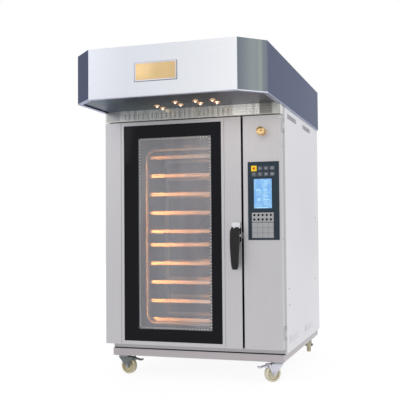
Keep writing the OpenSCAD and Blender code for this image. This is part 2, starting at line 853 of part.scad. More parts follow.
// Five slabs of insulation: left, right of the duct, behind, above and below
module insulation() {
    color("goldenrod") {
        block(x_left + skin_t, x_ch_l - liner_t, y_cab, y_ins_b, z_ch_f - liner_t, z_ch_t + liner_t);
        block(x_duct, x_bay, y_cab, y_ins_b, z_ch_f - liner_t, z_ch_t + liner_t);
        difference() {
            block(x_ch_l - liner_t, x_duct, y_plenum + liner_t, y_ins_b,
                z_ch_f - liner_t, z_ch_t + liner_t);
            translate([x_mid, 0, z_fan]) {
                bar_y(fan_shaft_r + 6, y_plenum, y_ins_b + cut);
                for (x = [-1, 1], z = [-1, 1]) translate([x * standoff_c, 0, z * standoff_c])
                    bar_y(standoff_r + seat, y_plenum, y_ins_b + cut);
                at_heater_legs() bar_y(heater_leg_r + seat, y_plenum, y_ins_b + cut);
            }
        }
        difference() {
            block(x_left + skin_t, x_bay, y_cab, y_ins_b, z_ch_t + liner_t, z_roof - skin_t);
            translate([x_mid, y_mid, z_ch_t]) cylinder(r = sleeve_r + seat, h = ceiling_t);
        }
        block(x_left + skin_t, x_bay, y_cab, y_ins_b, z_body + skin_t, z_ch_f - liner_t);
    }
}

// Two lamps on the left wall, just inside the door
lamp_h = 330;
lamp_w = 44;
lamp_t = 22;
lamp_in = 210;
lamp_back = 60;
lamp_z = [z_ch_f + lamp_in, z_ch_t - lamp_in - lamp_h];
module oven_lamps() {
    color("khaki") for (z = lamp_z)
        translate([x_ch_l, y_cab + lamp_back, z + lamp_h / 2]) rotate([0, 90, 0])
            linear_extrude(lamp_t) round_rect(lamp_h, lamp_w, lamp_w / 2 - 2);
}

// Ring heaters round the fan; both ends of each turn back through the rear wall
module heater_rings() {
    color("sienna") translate([x_mid, 0, z_fan]) for (i = [0 : heater_n - 1]) {
        y = y_fan - 10 + i * (fan_depth + 20) / max(1, heater_n - 1);
        translate([0, y, 0]) rotate([90, 0, 0]) rotate_extrude()
            translate([heater_r + i * heater_step, 0]) circle(r = heater_tube_r, $fn = 32);
        at_ring_legs(i) bar_y(heater_leg_r, y, y_ins_b + 20);
    }
}

// Fan wheel: hub and shaft, back plate, leaning blades and a front ring
module fan_wheel() {
    color("lightgray") translate([x_mid, 0, z_fan]) {
        bar_y(fan_shaft_r, y_fan + 10, y_ins_b + 30);
        bar_y(24, y_fan + fan_depth - 30, y_fan + fan_depth);
        bar_y(fan_r, y_fan + fan_depth, y_fan + fan_depth + 3);
        difference() {
            bar_y(fan_r, y_fan, y_fan + 2);
            bar_y(fan_r - 40, y_fan - cut, y_fan + 2 + cut);
        }
        for (i = [0 : blade_n - 1]) rotate([0, i * 360 / blade_n, 0])
            translate([fan_r - blade_in, y_fan + 1, -1]) rotate([0, blade_lean, 0])
                cube([blade_w, fan_depth, blade_t]);
    }
}

// Finned motor on the studs behind the rear insulation
module fan_motor() {
    color("slategray") translate([x_mid, 0, z_fan]) difference() {
        union() {
            upright(y_ins_b, y_ins_b + motor_foot_t) round_rect(motor_foot, motor_foot, 16);
            bar_y(motor_r - fin_h, y_ins_b + motor_foot_t, y_ins_b + motor_l);
            bar_y(motor_r, y_ins_b + motor_l - motor_cap, y_ins_b + motor_l);
            for (i = [0 : 11]) rotate([0, i * 30 + 15, 0])
                translate([motor_r - fin_h - 2, y_ins_b + motor_foot_t, -fin_t / 2])
                    cube([fin_h + 2, motor_l - motor_cap - 5, fin_t]);
        }
        bar_y(fan_shaft_r + run_gap, y_ins_b - cut, y_ins_b + 40);
    }
}

// Socket on the chamber floor that centres the rack's lower pin
module pivot_socket() {
    color("gray") translate([x_mid, y_mid, z_ch_f]) difference() {
        union() {
            cylinder(r = 45, h = 6);
            cylinder(r = 24, h = socket_h);
        }
        translate([0, 0, 10]) cylinder(r = pivot_r + run_gap, h = socket_h);
    }
}

// Flanged bearing on the roof, with a sleeve down to the ceiling
module shaft_bearing() {
    color("gray") translate([x_mid, y_mid, 0]) difference() {
        union() {
            translate([0, 0, z_roof]) cylinder(r = 55, h = 10);
            translate([0, 0, z_roof]) cylinder(r = 32, h = bearing_h);
            translate([0, 0, z_ch_t + liner_t])
                cylinder(r = sleeve_r, h = z_roof - z_ch_t - liner_t);
        }
        translate([0, 0, z_ch_t]) cylinder(r = shaft_r + run_gap, h = ceiling_t + bearing_h + cut);
    }
}

// Worm gearbox with feet on the roof and a flanged motor behind it
module gear_motor() {
    h = gearbox_w / 2;
    z_m = z_gearbox + gearbox_h / 2;
    color("slategray") translate([x_mid, y_mid, 0]) difference() {
        union() {
            translate([0, 0, z_gearbox]) linear_extrude(gearbox_h) round_rect(2 * h, 2 * h, 18);
            for (s = [-1, 1]) scale([s, 1, 1]) {
                block(h - foot_t, h, -h + 20, h - 20, z_roof, z_gearbox);
                block(h - foot_t, h + foot_out, -h + 20, h - 20, z_roof, z_roof + foot_h);
            }
            translate([0, 0, z_m]) {
                y1 = h + drive_flange[0][1];
                y2 = y1 + drive_flange[1][1];
                bar_y(drive_flange[0][0], h, y1);
                bar_y(drive_flange[1][0], y1, y2);
                bar_y(drive_r, y2, y2 + drive_l);
                for (i = [0 : 9]) rotate([0, i * 36, 0])
                    translate([drive_r - 2, y2, -2]) cube([9, drive_l - 16, 4]);
            }
        }
        translate([0, 0, z_gearbox - cut]) cylinder(r = shaft_r + run_gap, h = gearbox_h + 2 * cut);
    }
}

// Mounting plate across the electrics bay, with rails that carry contactors, breakers
// and fuses, and a transformer below them; the bay's width sets how many fit side by side
bay_back = 140;
bay_low = 120;
bay_high = 180;
din_z = [300, 520, 780];
din_h = 35;
din_t = 8;
bay_side = 20;
contactor = [45, 77, 80];
contactor_pitch = 52;
breaker = [17, 62, 85];
breaker_pitch = 19;
fuse_box = [120, 52, 90];
transformer = [110, 80, 100];
transformer_z = 930;
module electrics() {
    y = y_cab + bay_back;
    x0 = x_bay + bay_side;
    w = x_right - skin_t - x_bay - 2 * bay_side;
    color("lightgray") {
        block(x_bay, x_right - skin_t, y, y + skin_t, z_ch_f + bay_low, z_ch_t - bay_high);
        for (z = din_z) block(x0 - 5, x0 + w + 5, y - din_t, y, z_body + z, z_body + z + din_h);
        for (i = [0 : floor((w - contactor[0]) / contactor_pitch)])
            device(x0 + i * contactor_pitch, y, z_body + din_z[0], contactor);
        for (i = [0 : floor((w - breaker[0]) / breaker_pitch)])
            device(x0 + i * breaker_pitch, y, z_body + din_z[1], breaker);
        device(x0 + 10, y, z_body + din_z[2], [min(fuse_box[0], w - 10), fuse_box[1], fuse_box[2]]);
        translate([x0 + 10, y - transformer[1], z_body + transformer_z])
            cube([min(transformer[0], w - 10), transformer[1], transformer[2]]);
    }
}

// One device of the given size on a rail, centred on the rail's height
module device(x, y, z, size) {
    translate([x, y - din_t - size[1], z + (din_h - size[2]) / 2]) cube(size);
}

// ---------------------------------------------------------------- hood

// Outline of the hood seen from above, moved in by t on every side
function hood_plan(t) = [
    [-hood_x + t, y_back - t],
    [-hood_x + t, y_hood + hood_cut + t * half_cut],
    [-hood_x + hood_cut + t * half_cut, y_hood + t],
    [hood_x - hood_cut - t * half_cut, y_hood + t],
    [hood_x - t, y_hood + hood_cut + t * half_cut],
    [hood_x - t, y_back - t]
];

module hood_shell() {
    color("lightsteelblue") difference() {
        translate([0, 0, z_roof]) linear_extrude(hood_h) polygon(hood_plan(0));
        translate([0, 0, z_roof + skin_t]) linear_extrude(hood_h - 2 * skin_t)
            polygon(hood_plan(skin_t));
        translate([0, 0, z_roof - cut]) linear_extrude(skin_t + 2 * cut)
            polygon(hood_plan(lip_w));
        translate([0, flue_y, z_hood - skin_t - cut])
            cylinder(r = flue_r - skin_t, h = skin_t + 2 * cut);
    }
}

// Where the soffit's lamps sit: four pairs, each from its front lamp's place
soffit_lamp_r = 12;
soffit_lamps = [[-157, -133], [-12, -220], [111, -224], [212, -222]];
soffit_pair = 92;
module at_lamps() {
    for (p = soffit_lamps, dy = [0, soffit_pair])
        translate([p[0], y_face + p[1] + dy, 0]) children();
}

// Intake that draws the steam from behind the slotted band up into the hood
intake_w = 1000;
intake_d = 56;
intake_y = y_face + 9;

// Outline of the soffit seen from above, in from the hood's sides by t
function soffit_plan(t) = [
    [-hood_x + t, y_portal],
    [-hood_x + t, y_hood + hood_cut + t * half_cut],
    [-hood_x + hood_cut + t * half_cut, y_hood + t],
    [hood_x - hood_cut - t * half_cut, y_hood + t],
    [hood_x - t, y_hood + hood_cut + t * half_cut],
    [hood_x - t, y_portal]
];

// Soffit on the hood's lip, with folded edges and lamp holes
module hood_soffit() {
    c = skin_t + seat;
    color("lightsteelblue") difference() {
        translate([0, 0, z_roof + skin_t]) linear_extrude(soffit_rise) polygon(soffit_plan(c));
        translate([0, 0, z_roof]) linear_extrude(soffit_rise) difference() {
            polygon(soffit_plan(c + skin_t));
            translate([-hood_x, y_face - skin_t]) square([hood_w, total_d]);
        }
        block(-hood_x, hood_x, y_face - skin_t, y_portal + cut, z_roof, z_soffit);
        block(-intake_w / 2, intake_w / 2, intake_y, intake_y + intake_d, z_soffit - cut,
            z_soffit + skin_t + cut);
        translate([0, 0, z_soffit - cut]) at_lamps()
            cylinder(r = soffit_lamp_r + seat, h = skin_t + 2 * cut);
    }
}

module hood_lamps() {
    color("wheat") translate([0, 0, z_soffit - 3]) at_lamps() {
        cylinder(r = soffit_lamp_r, h = 20);
        cylinder(r = soffit_lamp_r + 3, h = 3 - seat);
    }
}

// Fascia band in the plane of the doors, with its row of upright vent slots
band_slot_w = 8;
band_slot_h = 36;
band_pitch = 30;
module fascia_band() {
    x0 = x_glass_l + 6;
    n = floor((x_mid + glass_w / 2 + 40 - x0) / band_pitch);
    z = z_roof - band_h;
    top_x = hood_x - lip_w - 1;
    color("gray") difference() {
        union() {
            block(x_left, x_right, y_face, y_face + skin_t, z, z_roof);
            block(-top_x, top_x, y_face, y_face + skin_t, z_roof, z_soffit);
            block(x_left, x_right, y_face, y_portal, z, z + skin_t);
            for (x = [x_left, x_right - skin_t])
                block(x, x + skin_t, y_face, y_portal, z, z_roof);
        }
        for (i = [0 : n]) block(x0 + i * band_pitch, x0 + i * band_pitch + band_slot_w,
            y_face - cut, y_face + skin_t + cut, z + 12, z + 12 + band_slot_h);
    }
}

module flue_spigot() {
    color("lightgray") translate([0, flue_y, z_hood]) difference() {
        union() {
            cylinder(r = flue_r + 20, h = 3);
            cylinder(r = flue_r, h = flue_l);
        }
        translate([0, 0, -cut]) cylinder(r = flue_r - skin_t, h = flue_l + 2 * cut);
    }
}

// ---------------------------------------------------------------- oven door

// Welded frame: hollow stiles, rails, a front bead and a rebate for the two panes
pane_l = x_glass_l - pane_lap;
pane_r = x_glass_r + pane_lap;
y_liner = y_door_b - 3;
y_inner_frame = y_face + 5 + pane_t + seat;
y_inner_pane = y_door_b - pane_t;
window_l = x_mid + window_off - window_w / 2;
window_r = x_mid + window_off + window_w / 2;
z_window_b = (z_glass_b + z_glass_t - window_h) / 2 - 3;
z_window_t = z_window_b + window_h;
module door_frame() {
    lap_x0 = pane_l - seat;
    lap_x1 = pane_r + seat;
    color("lightgray") difference() {
        block(x_left, x_door_r, y_face, y_liner, z_door_b, z_door_t);
        block(x_glass_l, x_glass_r, y_face - cut, y_liner, z_glass_b, z_glass_t);
        block(lap_x0, lap_x1, y_face + 5, y_liner + cut,
            z_glass_b - pane_lap - seat, z_glass_t + pane_lap + seat);
        block(x_left + skin_t, lap_x0 - skin_t, y_face + seam_d + skin_t, y_liner - skin_t,
            z_door_b + skin_t, z_door_t - skin_t);
        block(lap_x1 + skin_t, x_door_r - skin_t, y_face + seam_d + skin_t, y_liner - skin_t,
            z_door_b + skin_t, z_door_t - skin_t);
        for (x = [x_glass_l - bead_w - 1.5, x_glass_r + bead_w - 1.5])
            block(x, x + 3, y_face - cut, y_face + seam_d, z_door_b - cut, z_door_t + cut);
        bolt_channel(x_door_r - skin_t - cut, x_door_r + cut);
        hinge_relief(-1, door_hinge_z);
    }
    color("lightgray") difference() {
        block(x_door_r - guide_back, x_door_r - guide_front, y_face + seam_d + skin_t,
            y_liner - skin_t, handle_z - bolt_h / 2 - 6, handle_z + bolt_h / 2 + 6);
        bolt_channel(x_door_r - guide_back - cut, x_door_r - guide_front + cut);
    }
}

// The passage of the latch bolt from x0 to x1
module bolt_channel(x0, x1) {
    block(x0, x1, bolt_y - bolt_w / 2 - seat, bolt_y + bolt_w / 2 + seat,
        handle_z - bolt_h / 2 - seat, handle_z + bolt_h / 2 + seat);
}

module outer_glass() {
    color("dimgray") block(pane_l, pane_r, y_face + 5, y_face + 5 + pane_t,
        z_glass_b - pane_lap, z_glass_t + pane_lap);
}

// A block round the window, wider than it by m on every side
module window_block(m, y0, y1) {
    block(window_l - m, window_r + m, y0, y1, z_window_b - m, z_window_t + m);
}

module inner_glass() {
    color("lightcyan") window_block(pane_lap, y_inner_pane, y_door_b);
}

// Liner sheet on the back of the door, with the hollow box frame that backs the outer
// pane and a rebate for the inner one
module inner_door_panel() {
    color("silver") difference() {
        union() {
            block(x_left + liner_in, x_door_r - 4, y_liner, y_door_b,
                z_door_b + 2, z_door_t - 2);
            block(pane_l, pane_r, y_inner_frame, y_liner,
                z_glass_b - pane_lap, z_glass_t + pane_lap);
        }
        difference() {
            block(pane_l + skin_t, pane_r - skin_t, y_inner_frame + skin_t, y_liner - seam_d,
                z_glass_b - pane_lap + skin_t, z_glass_t + pane_lap - skin_t);
            window_block(pane_lap + 6, y_inner_frame, y_liner);
        }
        window_block(0, y_inner_frame - cut, y_door_b + cut);
        window_block(pane_lap + seat, y_inner_pane, y_door_b + cut);
    }
}

// Chrome base of the handle: plate, top boss, and the lug and pin that carry the grip
module latch_base() {
    top = grip_rise + 6 + boss_h;
    color("whitesmoke") translate([grip_x, 0, handle_z]) {
        upright(y_face - base_plate_t, y_face) translate([0, (top - 40) / 2])
            round_rect(54, top + 40, 9);
        upright(y_face - 24, y_face - base_plate_t) translate([0, top - boss_h / 2])
            round_rect(54, boss_h, 11);
        block(-lug_w / 2, lug_w / 2, grip_y, y_face - base_plate_t, -12, 12);
        translate([0, grip_y, 0]) {
            bar_x(grip_pin_r, -grip_w / 2 - 3, grip_w / 2 + 3);
            bar_x(12, -lug_w / 2, lug_w / 2);
            for (s = [-1, 1]) translate([s * (grip_w / 2 + 2.5), 0, 0]) bar_x(9, -1.5, 1.5);
        }
    }
}

// Moulded grip: rounded sections joined from the top down. It is widest at the pivot,
// bows away from the door, and narrows and rounds off at its end.
grip_n = 12;
grip_end_w = 40;
grip_bow = 9;
grip_deep = 36;
grip_thin = 19;
grip_r = 7;
grip_top_cut = 16;
function ease(t) = 0.5 - 0.5 * cos(180 * min(1, max(0, t)));
function grip_half_w(t) = (grip_w - (grip_w - grip_end_w) * t * t) / 2 - 9 * (1 - ease(t * 9));
function grip_out(t) = -grip_thin + 3 - grip_bow * sin(180 * t) + 5 * (1 - ease(t * 8));
function grip_in(t) = grip_out(t) + grip_thin + (grip_deep - grip_thin) * (1 - ease(t * 2.2 - 0.5))
    - 7 * ease(t * 8 - 7) - grip_top_cut * (1 - ease(t * 8));

// Section of the grip at the share t of its length, as a thin slab
module grip_slab(t) {
    r = grip_r * (t < 1 ? 1 : 0.6);
    hw = grip_half_w(t) - (t < 1 ? 0 : 5);
    translate([0, 0, grip_rise - t * (grip_rise + grip_drop)]) linear_extrude(0.4, center = true)
        hull() for (x = [-hw + r, hw - r], y = [grip_out(t) + r, grip_in(t) - r])
            translate([x, y]) circle(r = r, $fn = 20);
}

module handle_grip() {
    color("black") translate([grip_x, grip_y, handle_z]) difference() {
        for (i = [0 : grip_n - 1]) hull() {
            grip_slab(i / grip_n);
            grip_slab((i + 1) / grip_n);
        }
        block(-lug_w / 2 - 0.5, lug_w / 2 + 0.5, -13, 60, -28, grip_rise + cut);
        bar_x(grip_pin_r + run_gap, -60, 60);
    }
}

module latch_bolt() {
    color("gray") block(x_door_r - bolt_back, x_door_r + tongue_reach, bolt_y - bolt_w / 2,
        bolt_y + bolt_w / 2, handle_z - bolt_h / 2, handle_z + bolt_h / 2);
}

// ---------------------------------------------------------------- control door

// The passage of the knob's tongue from x0 to x1
module tongue_channel(x0, x1) {
    block(x0, x1, tongue_y - seat, tongue_y + tongue_t + seat,
        knob_z - tongue_h / 2 - seat, knob_z + tongue_h / 2 + seat);
}

// Folded pan open at the back, with its hinge leaves welded to the right side and a
// guide for the tongue
module control_door() {
    color("lightgray") {
        difference() {
            block(x_ctrl_l, x_right, y_face, y_door_b, z_door_b, z_door_t);
            block(x_ctrl_l + skin_t, x_right - skin_t, y_face + skin_t, y_door_b + cut,
                z_door_b + skin_t, z_door_t - skin_t);
            block(panel_x + panel_boss_in - seat, panel_x + panel_w - panel_boss_in + seat,
                y_face - cut, y_face + skin_t + cut, panel_z + panel_boss_in - seat,
                panel_z + panel_h - panel_boss_in + seat);
            translate([knob_x, 0, knob_z]) bar_y(spindle_r + run_gap, y_face - cut, y_face + skin_t + cut);
            tongue_channel(x_ctrl_l - cut, x_ctrl_l + skin_t + cut);
            hinge_relief(1, ctrl_hinge_z);
        }
        difference() {
            block(x_ctrl_l + 0.4 * knob_in, x_ctrl_l + 0.6 * knob_in, y_face + skin_t,
                tongue_y + tongue_t + 6, knob_z - tongue_h / 2 - 6, knob_z + tongue_h / 2 + 6);
            tongue_channel(x_ctrl_l + 0.4 * knob_in - cut, x_ctrl_l + 0.6 * knob_in + cut);
        }
        for (z = ctrl_hinge_z) translate([0, 0, z]) moving_hinge(1);
    }
}

// Places its children on the control plate's front, at a point from its lower left
module on_panel(p) {
    translate([panel_x + p[0], y_face - panel_proud, panel_z + p[1]]) children();
}

// A shallow plate on the control panel: width and height, from depth d0 to d1
module panel_plate(p, size, d0, d1) {
    on_panel(p) translate([0, d0, 0]) cube([size[0], d1 - d0, size[1]]);
}

module controller_plate() {
    back = panel_proud + panel_boss_d;
    in = panel_boss_in;
    color("darkslategray") difference() {
        union() {
            panel_plate([0, 0], [panel_w, panel_h], 0, panel_proud);
            panel_plate([in, in], [panel_w - 2 * in, panel_h - 2 * in], panel_proud, back);
        }
        panel_plate(display_lo, display_size, -cut, pocket_t);
        panel_plate(pad_lo, pad_size, -cut, pocket_t);
        on_panel(button_c) translate([0, back / 2, 0])
            cube([button_w + 2 * seat, back + 2 * cut, button_w + 2 * seat], center = true);
    }
}

module display_window() {
    color("skyblue") panel_plate(display_lo + [seat, seat], display_size - 2 * [seat, seat],
        0.5, pocket_t);
}

// Membrane keypad: base sheet, dot keys, square keys; icon keys on the plate's face
module keypad() {
    color("darkgray") {
        panel_plate(pad_lo + [seat, seat], pad_size - 2 * [seat, seat], 0.5, pocket_t);
        for (i = [0 : 4], k = [0 : 1])
            on_panel([dot_lo[0] + dot_pitch[0] * i, dot_lo[1] + dot_pitch[1] * k])
                bar_y(dot_r, 0.5 - key_t, 0.5);
        for (i = [0 : 3], k = [0 : 2])
            panel_plate([key_lo[0] + key_pitch[0] * i, key_lo[1] + key_pitch[1] * k],
                key_size, 0.5 - key_t, 0.5);
        for (i = [0 : 3], k = [0 : 1]) if (i + k > 0)
            on_panel(button_c + [i * icon_pitch[0], -k * icon_pitch[1] - 2 * sign(k)])
                translate([0, -0.3, 0]) cube([icon_size[0], 0.6, icon_size[1]], center = true);
    }
}

module start_button() {
    b = panel_proud + panel_boss_d + seat;
    color("gold") on_panel(button_c) {
        translate([0, -1.5 + b / 2, 0]) cube([button_w, b + 3, button_w], center = true);
        translate([0, b + 1.5, 0]) cube([button_w + 8, 3, button_w + 8], center = true);
    }
}

// Round knob on its spindle, with the cam disc that draws the tongue back
module door_knob() {
    r = knob_r;
    color("goldenrod") translate([knob_x, y_face, knob_z]) {
        rotate([90, 0, 0]) rotate_extrude() polygon([
            [0, seat], [r * 0.62, seat], [r * 0.62, 3], [r * 0.36, 7], [r * 0.36, 22],
            [r * 0.8, 30], [r, 38], [r, 46], [r * 0.84, 53], [r * 0.5, 57], [0, 58]]);
        bar_y(spindle_r, -1, tongue_y - y_face - seat);
        bar_y(cam_r, tongue_y - y_face - 6, tongue_y - y_face - seat);
    }
}

module knob_tongue() {
    color("gray") block(x_ctrl_l - tongue_reach, knob_x + cam_r - 2, tongue_y, tongue_y + tongue_t,
        knob_z - tongue_h / 2, knob_z + tongue_h / 2);
}

// ---------------------------------------------------------------- rack

// Closed loop of bent tube in the X-Z plane, as one side frame of the rack
module tube_loop() {
    zc = (z_rack_b + z_rack_t) / 2;
    hz = (z_rack_t - z_rack_b) / 2;
    for (s = [-1, 1]) {
        translate([s * rack_x, 0, z_rack_b + bend_r]) cylinder(r = tube_r, h = 2 * (hz - bend_r));
        translate([0, 0, zc + s * hz]) bar_x(tube_r, -rack_x + bend_r, rack_x - bend_r);
    }
    for (a = [0 : 3]) {
        sx = (a == 0 || a == 3) ? 1 : -1;
        sz = (a < 2) ? 1 : -1;
        translate([sx * (rack_x - bend_r), 0, zc + sz * (hz - bend_r)]) rotate([90, 0, 0])
            rotate([0, 0, a * 90]) rotate_extrude(angle = 90)
                translate([bend_r, 0]) circle(r = tube_r, $fn = 32);
    }
}

module rack_frame() {
    color("silver") translate([x_mid, y_mid, 0]) {
        for (s = [-1, 1]) translate([0, s * rack_y, 0]) tube_loop();
        for (x = [-200, 0, 200]) translate([x, 0, z_rack_b]) bar_y(tie_r, -rack_y, rack_y);
        for (x = [-150, 150]) translate([x, 0, z_rack_t]) bar_y(tie_r, -rack_y, rack_y);
        translate([0, 0, z_ch_f + 14]) cylinder(r = pivot_r, h = rack_lift - 14);
    }
}

// Tray runners: angles inside both side frames, in two groups
function runner_z(i) = z_run_0 + i * runner_pitch
    - (i >= runner_n ? runner_pitch - runner_mid : 0);

module rack_runners() {
    y = rack_y - tube_r - seat;
    color("silver") translate([x_mid, y_mid, 0])
        for (i = [0 : 2 * runner_n - 1], s = [-1, 1]) translate([0, 0, runner_z(i)])
            rotate([0, 0, s > 0 ? 0 : 180]) {
                block(-rack_x, rack_x, y - runner_t, y, -runner_leg / 2, runner_leg / 2);
                block(-rack_x, rack_x, y - runner_leg, y - runner_t,
                    -runner_leg / 2, -runner_leg / 2 + runner_t);
            }
}

// Cross beam with saddles over both top tubes
module rack_hanger() {
    color("gray") translate([x_mid, y_mid, 0]) difference() {
        union() {
            block(-hanger_w / 2, hanger_w / 2, -rack_y - saddle, rack_y + saddle,
                z_hanger, z_flange);
            for (s = [-1, 1]) translate([0, s * rack_y, 0])
                block(-hanger_w / 2, hanger_w / 2, -saddle, saddle, z_rack_t - 2, z_hanger);
        }
        for (s = [-1, 1]) translate([0, s * rack_y, z_rack_t])
            bar_x(tube_r + seat, -hanger_w, hanger_w);
    }
}

// Drive shaft: flange on the hanger, and a thrust collar on the gearbox
module drive_shaft() {
    z_top = z_gearbox + gearbox_h + seat;
    color("lightgray") translate([x_mid, y_mid, 0]) {
        translate([0, 0, z_flange]) cylinder(r = flange_r, h = flange_t);
        translate([0, 0, z_flange]) cylinder(r = shaft_r, h = z_top + shaft_out - z_flange);
        translate([0, 0, z_top]) cylinder(r = shaft_r + collar_w, h = collar_h);
    }
}

base_frame();
floor_pan();
left_panel();
right_panel();
rear_panel();
roof_panel();
front_portal();
chamber_left_wall();
duct_wall();
back_baffle();
ceiling_plate();
chamber_floor();
rear_wall();
insulation();
fascia_band();
door_gasket();
hinge_brackets();
latch_strikes();
oven_lamps();
heater_rings();
fan_motor();
gear_motor();
shaft_bearing();
pivot_socket();
electrics();
hood_shell();
hood_soffit();
hood_lamps();
flue_spigot();
caster_plates();
door_frame();
outer_glass();
inner_glass();
inner_door_panel();
door_hinge_leaves();
latch_base();
handle_grip();
latch_bolt();
control_door();
controller_plate();
display_window();
keypad();
start_button();
door_knob();
knob_tongue();
drive_shaft();
rack_hanger();
rack_frame();
rack_runners();
fan_wheel();
fork_fl();
fork_fr();
fork_rl();
fork_rr();
wheel_fl();
wheel_fr();
wheel_rl();
wheel_rr();
brake_pedal_fl();
brake_pedal_fr();
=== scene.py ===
# %% [markdown]
# # A rotating rack oven
# The oven's solids come ready made, each in its true place, so this lesson is about
# everything that the eye reads as metal, glass, light and wear. Nothing that comes with
# the frame is moved: it gets a finish, and small pieces are built on top of it.
# %% Load the oven's frame
import math
import bmesh
import bpy
from mathutils import Matrix, Vector


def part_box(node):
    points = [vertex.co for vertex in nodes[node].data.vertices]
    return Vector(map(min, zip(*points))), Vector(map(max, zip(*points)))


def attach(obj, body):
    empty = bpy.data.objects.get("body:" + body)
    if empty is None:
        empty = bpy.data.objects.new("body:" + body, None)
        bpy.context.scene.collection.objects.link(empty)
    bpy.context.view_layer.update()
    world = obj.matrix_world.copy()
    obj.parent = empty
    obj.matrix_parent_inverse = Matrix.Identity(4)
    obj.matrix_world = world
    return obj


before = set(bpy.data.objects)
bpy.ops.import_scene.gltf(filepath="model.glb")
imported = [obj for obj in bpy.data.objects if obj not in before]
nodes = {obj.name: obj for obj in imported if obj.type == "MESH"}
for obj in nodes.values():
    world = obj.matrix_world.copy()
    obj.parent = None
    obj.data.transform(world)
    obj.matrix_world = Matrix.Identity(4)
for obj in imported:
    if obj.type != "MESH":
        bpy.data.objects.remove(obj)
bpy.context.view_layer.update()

# %% [markdown]
# ## The camera
# A photograph of a tall cabinet is taken from about chest height and some metres off,
# or its edges would lean. These numbers put the oven's own edges where they stand in
# such a picture: the camera is 4.7 m in front of the oven and 1.45 m to its right.
# %% Place the camera
CAMERA_AT = Vector((1.4501, -4.685, 0.9015))
YAW, PITCH, ROLL = math.radians(18.0), math.radians(2.2), math.radians(-0.455)
FOCAL_PIXELS = 754.2
PICTURE_PIXELS = 400
SENSOR_MM = 36.0
ahead = Vector((
    -math.sin(YAW) * math.cos(PITCH), math.cos(YAW) * math.cos(PITCH), math.sin(PITCH)))
level_right = Vector((math.cos(YAW), math.sin(YAW), 0))
level_up = level_right.cross(ahead)
right = level_right * math.cos(ROLL) + level_up * math.sin(ROLL)
up = level_up * math.cos(ROLL) - level_right * math.sin(ROLL)
lens = bpy.data.cameras.new("camera")
lens.lens = SENSOR_MM * FOCAL_PIXELS / PICTURE_PIXELS
lens.sensor_width = SENSOR_MM
lens.clip_end = 60
camera = bpy.data.objects.new("camera", lens)
camera.matrix_world = Matrix((
    (right.x, up.x, -ahead.x, CAMERA_AT.x),
    (right.y, up.y, -ahead.y, CAMERA_AT.y),
    (right.z, up.z, -ahead.z, CAMERA_AT.z),
    (0, 0, 0, 1)))
bpy.context.scene.collection.objects.link(camera)
bpy.context.scene.camera = camera
print("lens, mm:", round(lens.lens, 1))

# %% [markdown]
# ## A node helper and a colour helper
# Every finish below is a small network of nodes. One helper adds a node with its
# settings and its links, and one turns a colour as it is written on screen (sRGB)
# into the linear light that the renderer works in.
# %% Helpers for materials
def linear(colour):
    """A hex colour as linear red, green, blue and an alpha of 1."""
    channels = [int(colour[i:i + 2], 16) / 255 for i in (1, 3, 5)]
    return tuple(c / 12.92 if c <= 0.04045 else ((c + 0.055) / 1.055) ** 2.4
                 for c in channels) + (1.0,)


def add(tree, kind, settings=None, inputs=None):
    """Adds a node; an input is a value, a hex colour or another node's output."""
    node = tree.nodes.new("ShaderNode" + kind)
    for name, value in (settings or {}).items():
        setattr(node, name, value)
    for name, value in (inputs or {}).items():
        if isinstance(value, bpy.types.NodeSocket):
            tree.links.new(value, node.inputs[name])
        else:
            plain = linear(value) if isinstance(value, str) else value
            node.inputs[name].default_value = plain
    return node


def finish(name, **sockets):
    """A new material with one Principled shader; sockets are set by name."""
    made = bpy.data.materials.new(name)
    made.use_nodes = True
    tree = made.node_tree
    tree.nodes.clear()
    inputs = {socket.replace("_", " "): value for socket, value in sockets.items()}
    shader = add(tree, "BsdfPrincipled", inputs=inputs)
    add(tree, "OutputMaterial", inputs={"Surface": shader.outputs[0]})
    return made, tree, shader


def put(shader, socket, output):
    """Links an output into a socket of a shader."""
    shader.id_data.links.new(output, shader.inputs[socket])


print("mid grey in linear light:", round(linear("#808080")[0], 3))

# %% [markdown]
# ## Masks
# A finish often changes at a place on the object: at the window's outline, along an
# edge, or on the sheets that face one way. A mask is a number, 1 where the change is and
# 0 elsewhere. These two are measured on the object, so they hold from every side.
# %% Masks by place and by facing
def near(tree, value, middle, half, soft=0.0005):
    """1 where a value is within half of the middle, and 0 beyond, over a soft edge."""
    off = add(tree, "Math", {"operation": "SUBTRACT"}, {0: value, 1: middle}).outputs[0]
    far = add(tree, "Math", {"operation": "ABSOLUTE"}, {0: off}).outputs[0]
    return add(tree, "MapRange", inputs={
        "Value": far, "From Min": half, "From Max": half + soft,
        "To Min": 1.0, "To Max": 0.0}).outputs[0]


def facing(tree, axis, low, high):
    """1 where the surface faces along an axis of the object, 0 where it doesn't."""
    normal = add(tree, "TexCoord").outputs["Normal"]
    along = add(tree, "VectorMath", {"operation": "DOT_PRODUCT"}, {0: normal, 1: axis})
    return add(tree, "MapRange", inputs={
        "Value": along.outputs["Value"], "From Min": low, "From Max": high}).outputs[0]


print("masks ready")

# %% [markdown]
# ## Grained stainless steel
# The doors, panels and hood are stainless sheet, AISI 304 with a number 4 finish: an
# abrasive belt leaves fine scratches all in one direction. The eye gets a soft streak
# along the grain and a faint change of brightness across it. Real scratches are about
# 0.05 mm wide, far too fine to show here, so the grain is drawn 4 mm wide. A slow
# cloud of lighter and darker patches stands partly for wiping and handling marks and
# partly for painted reflections of the room, and it also makes the gloss uneven. A hair
# of rounding along each folded edge catches the light.
# %% Grained steel
GRAIN_PER_METRE = 250.0
STREAK_PER_METRE = 3.0
CLOUD_PER_METRE = 1.3


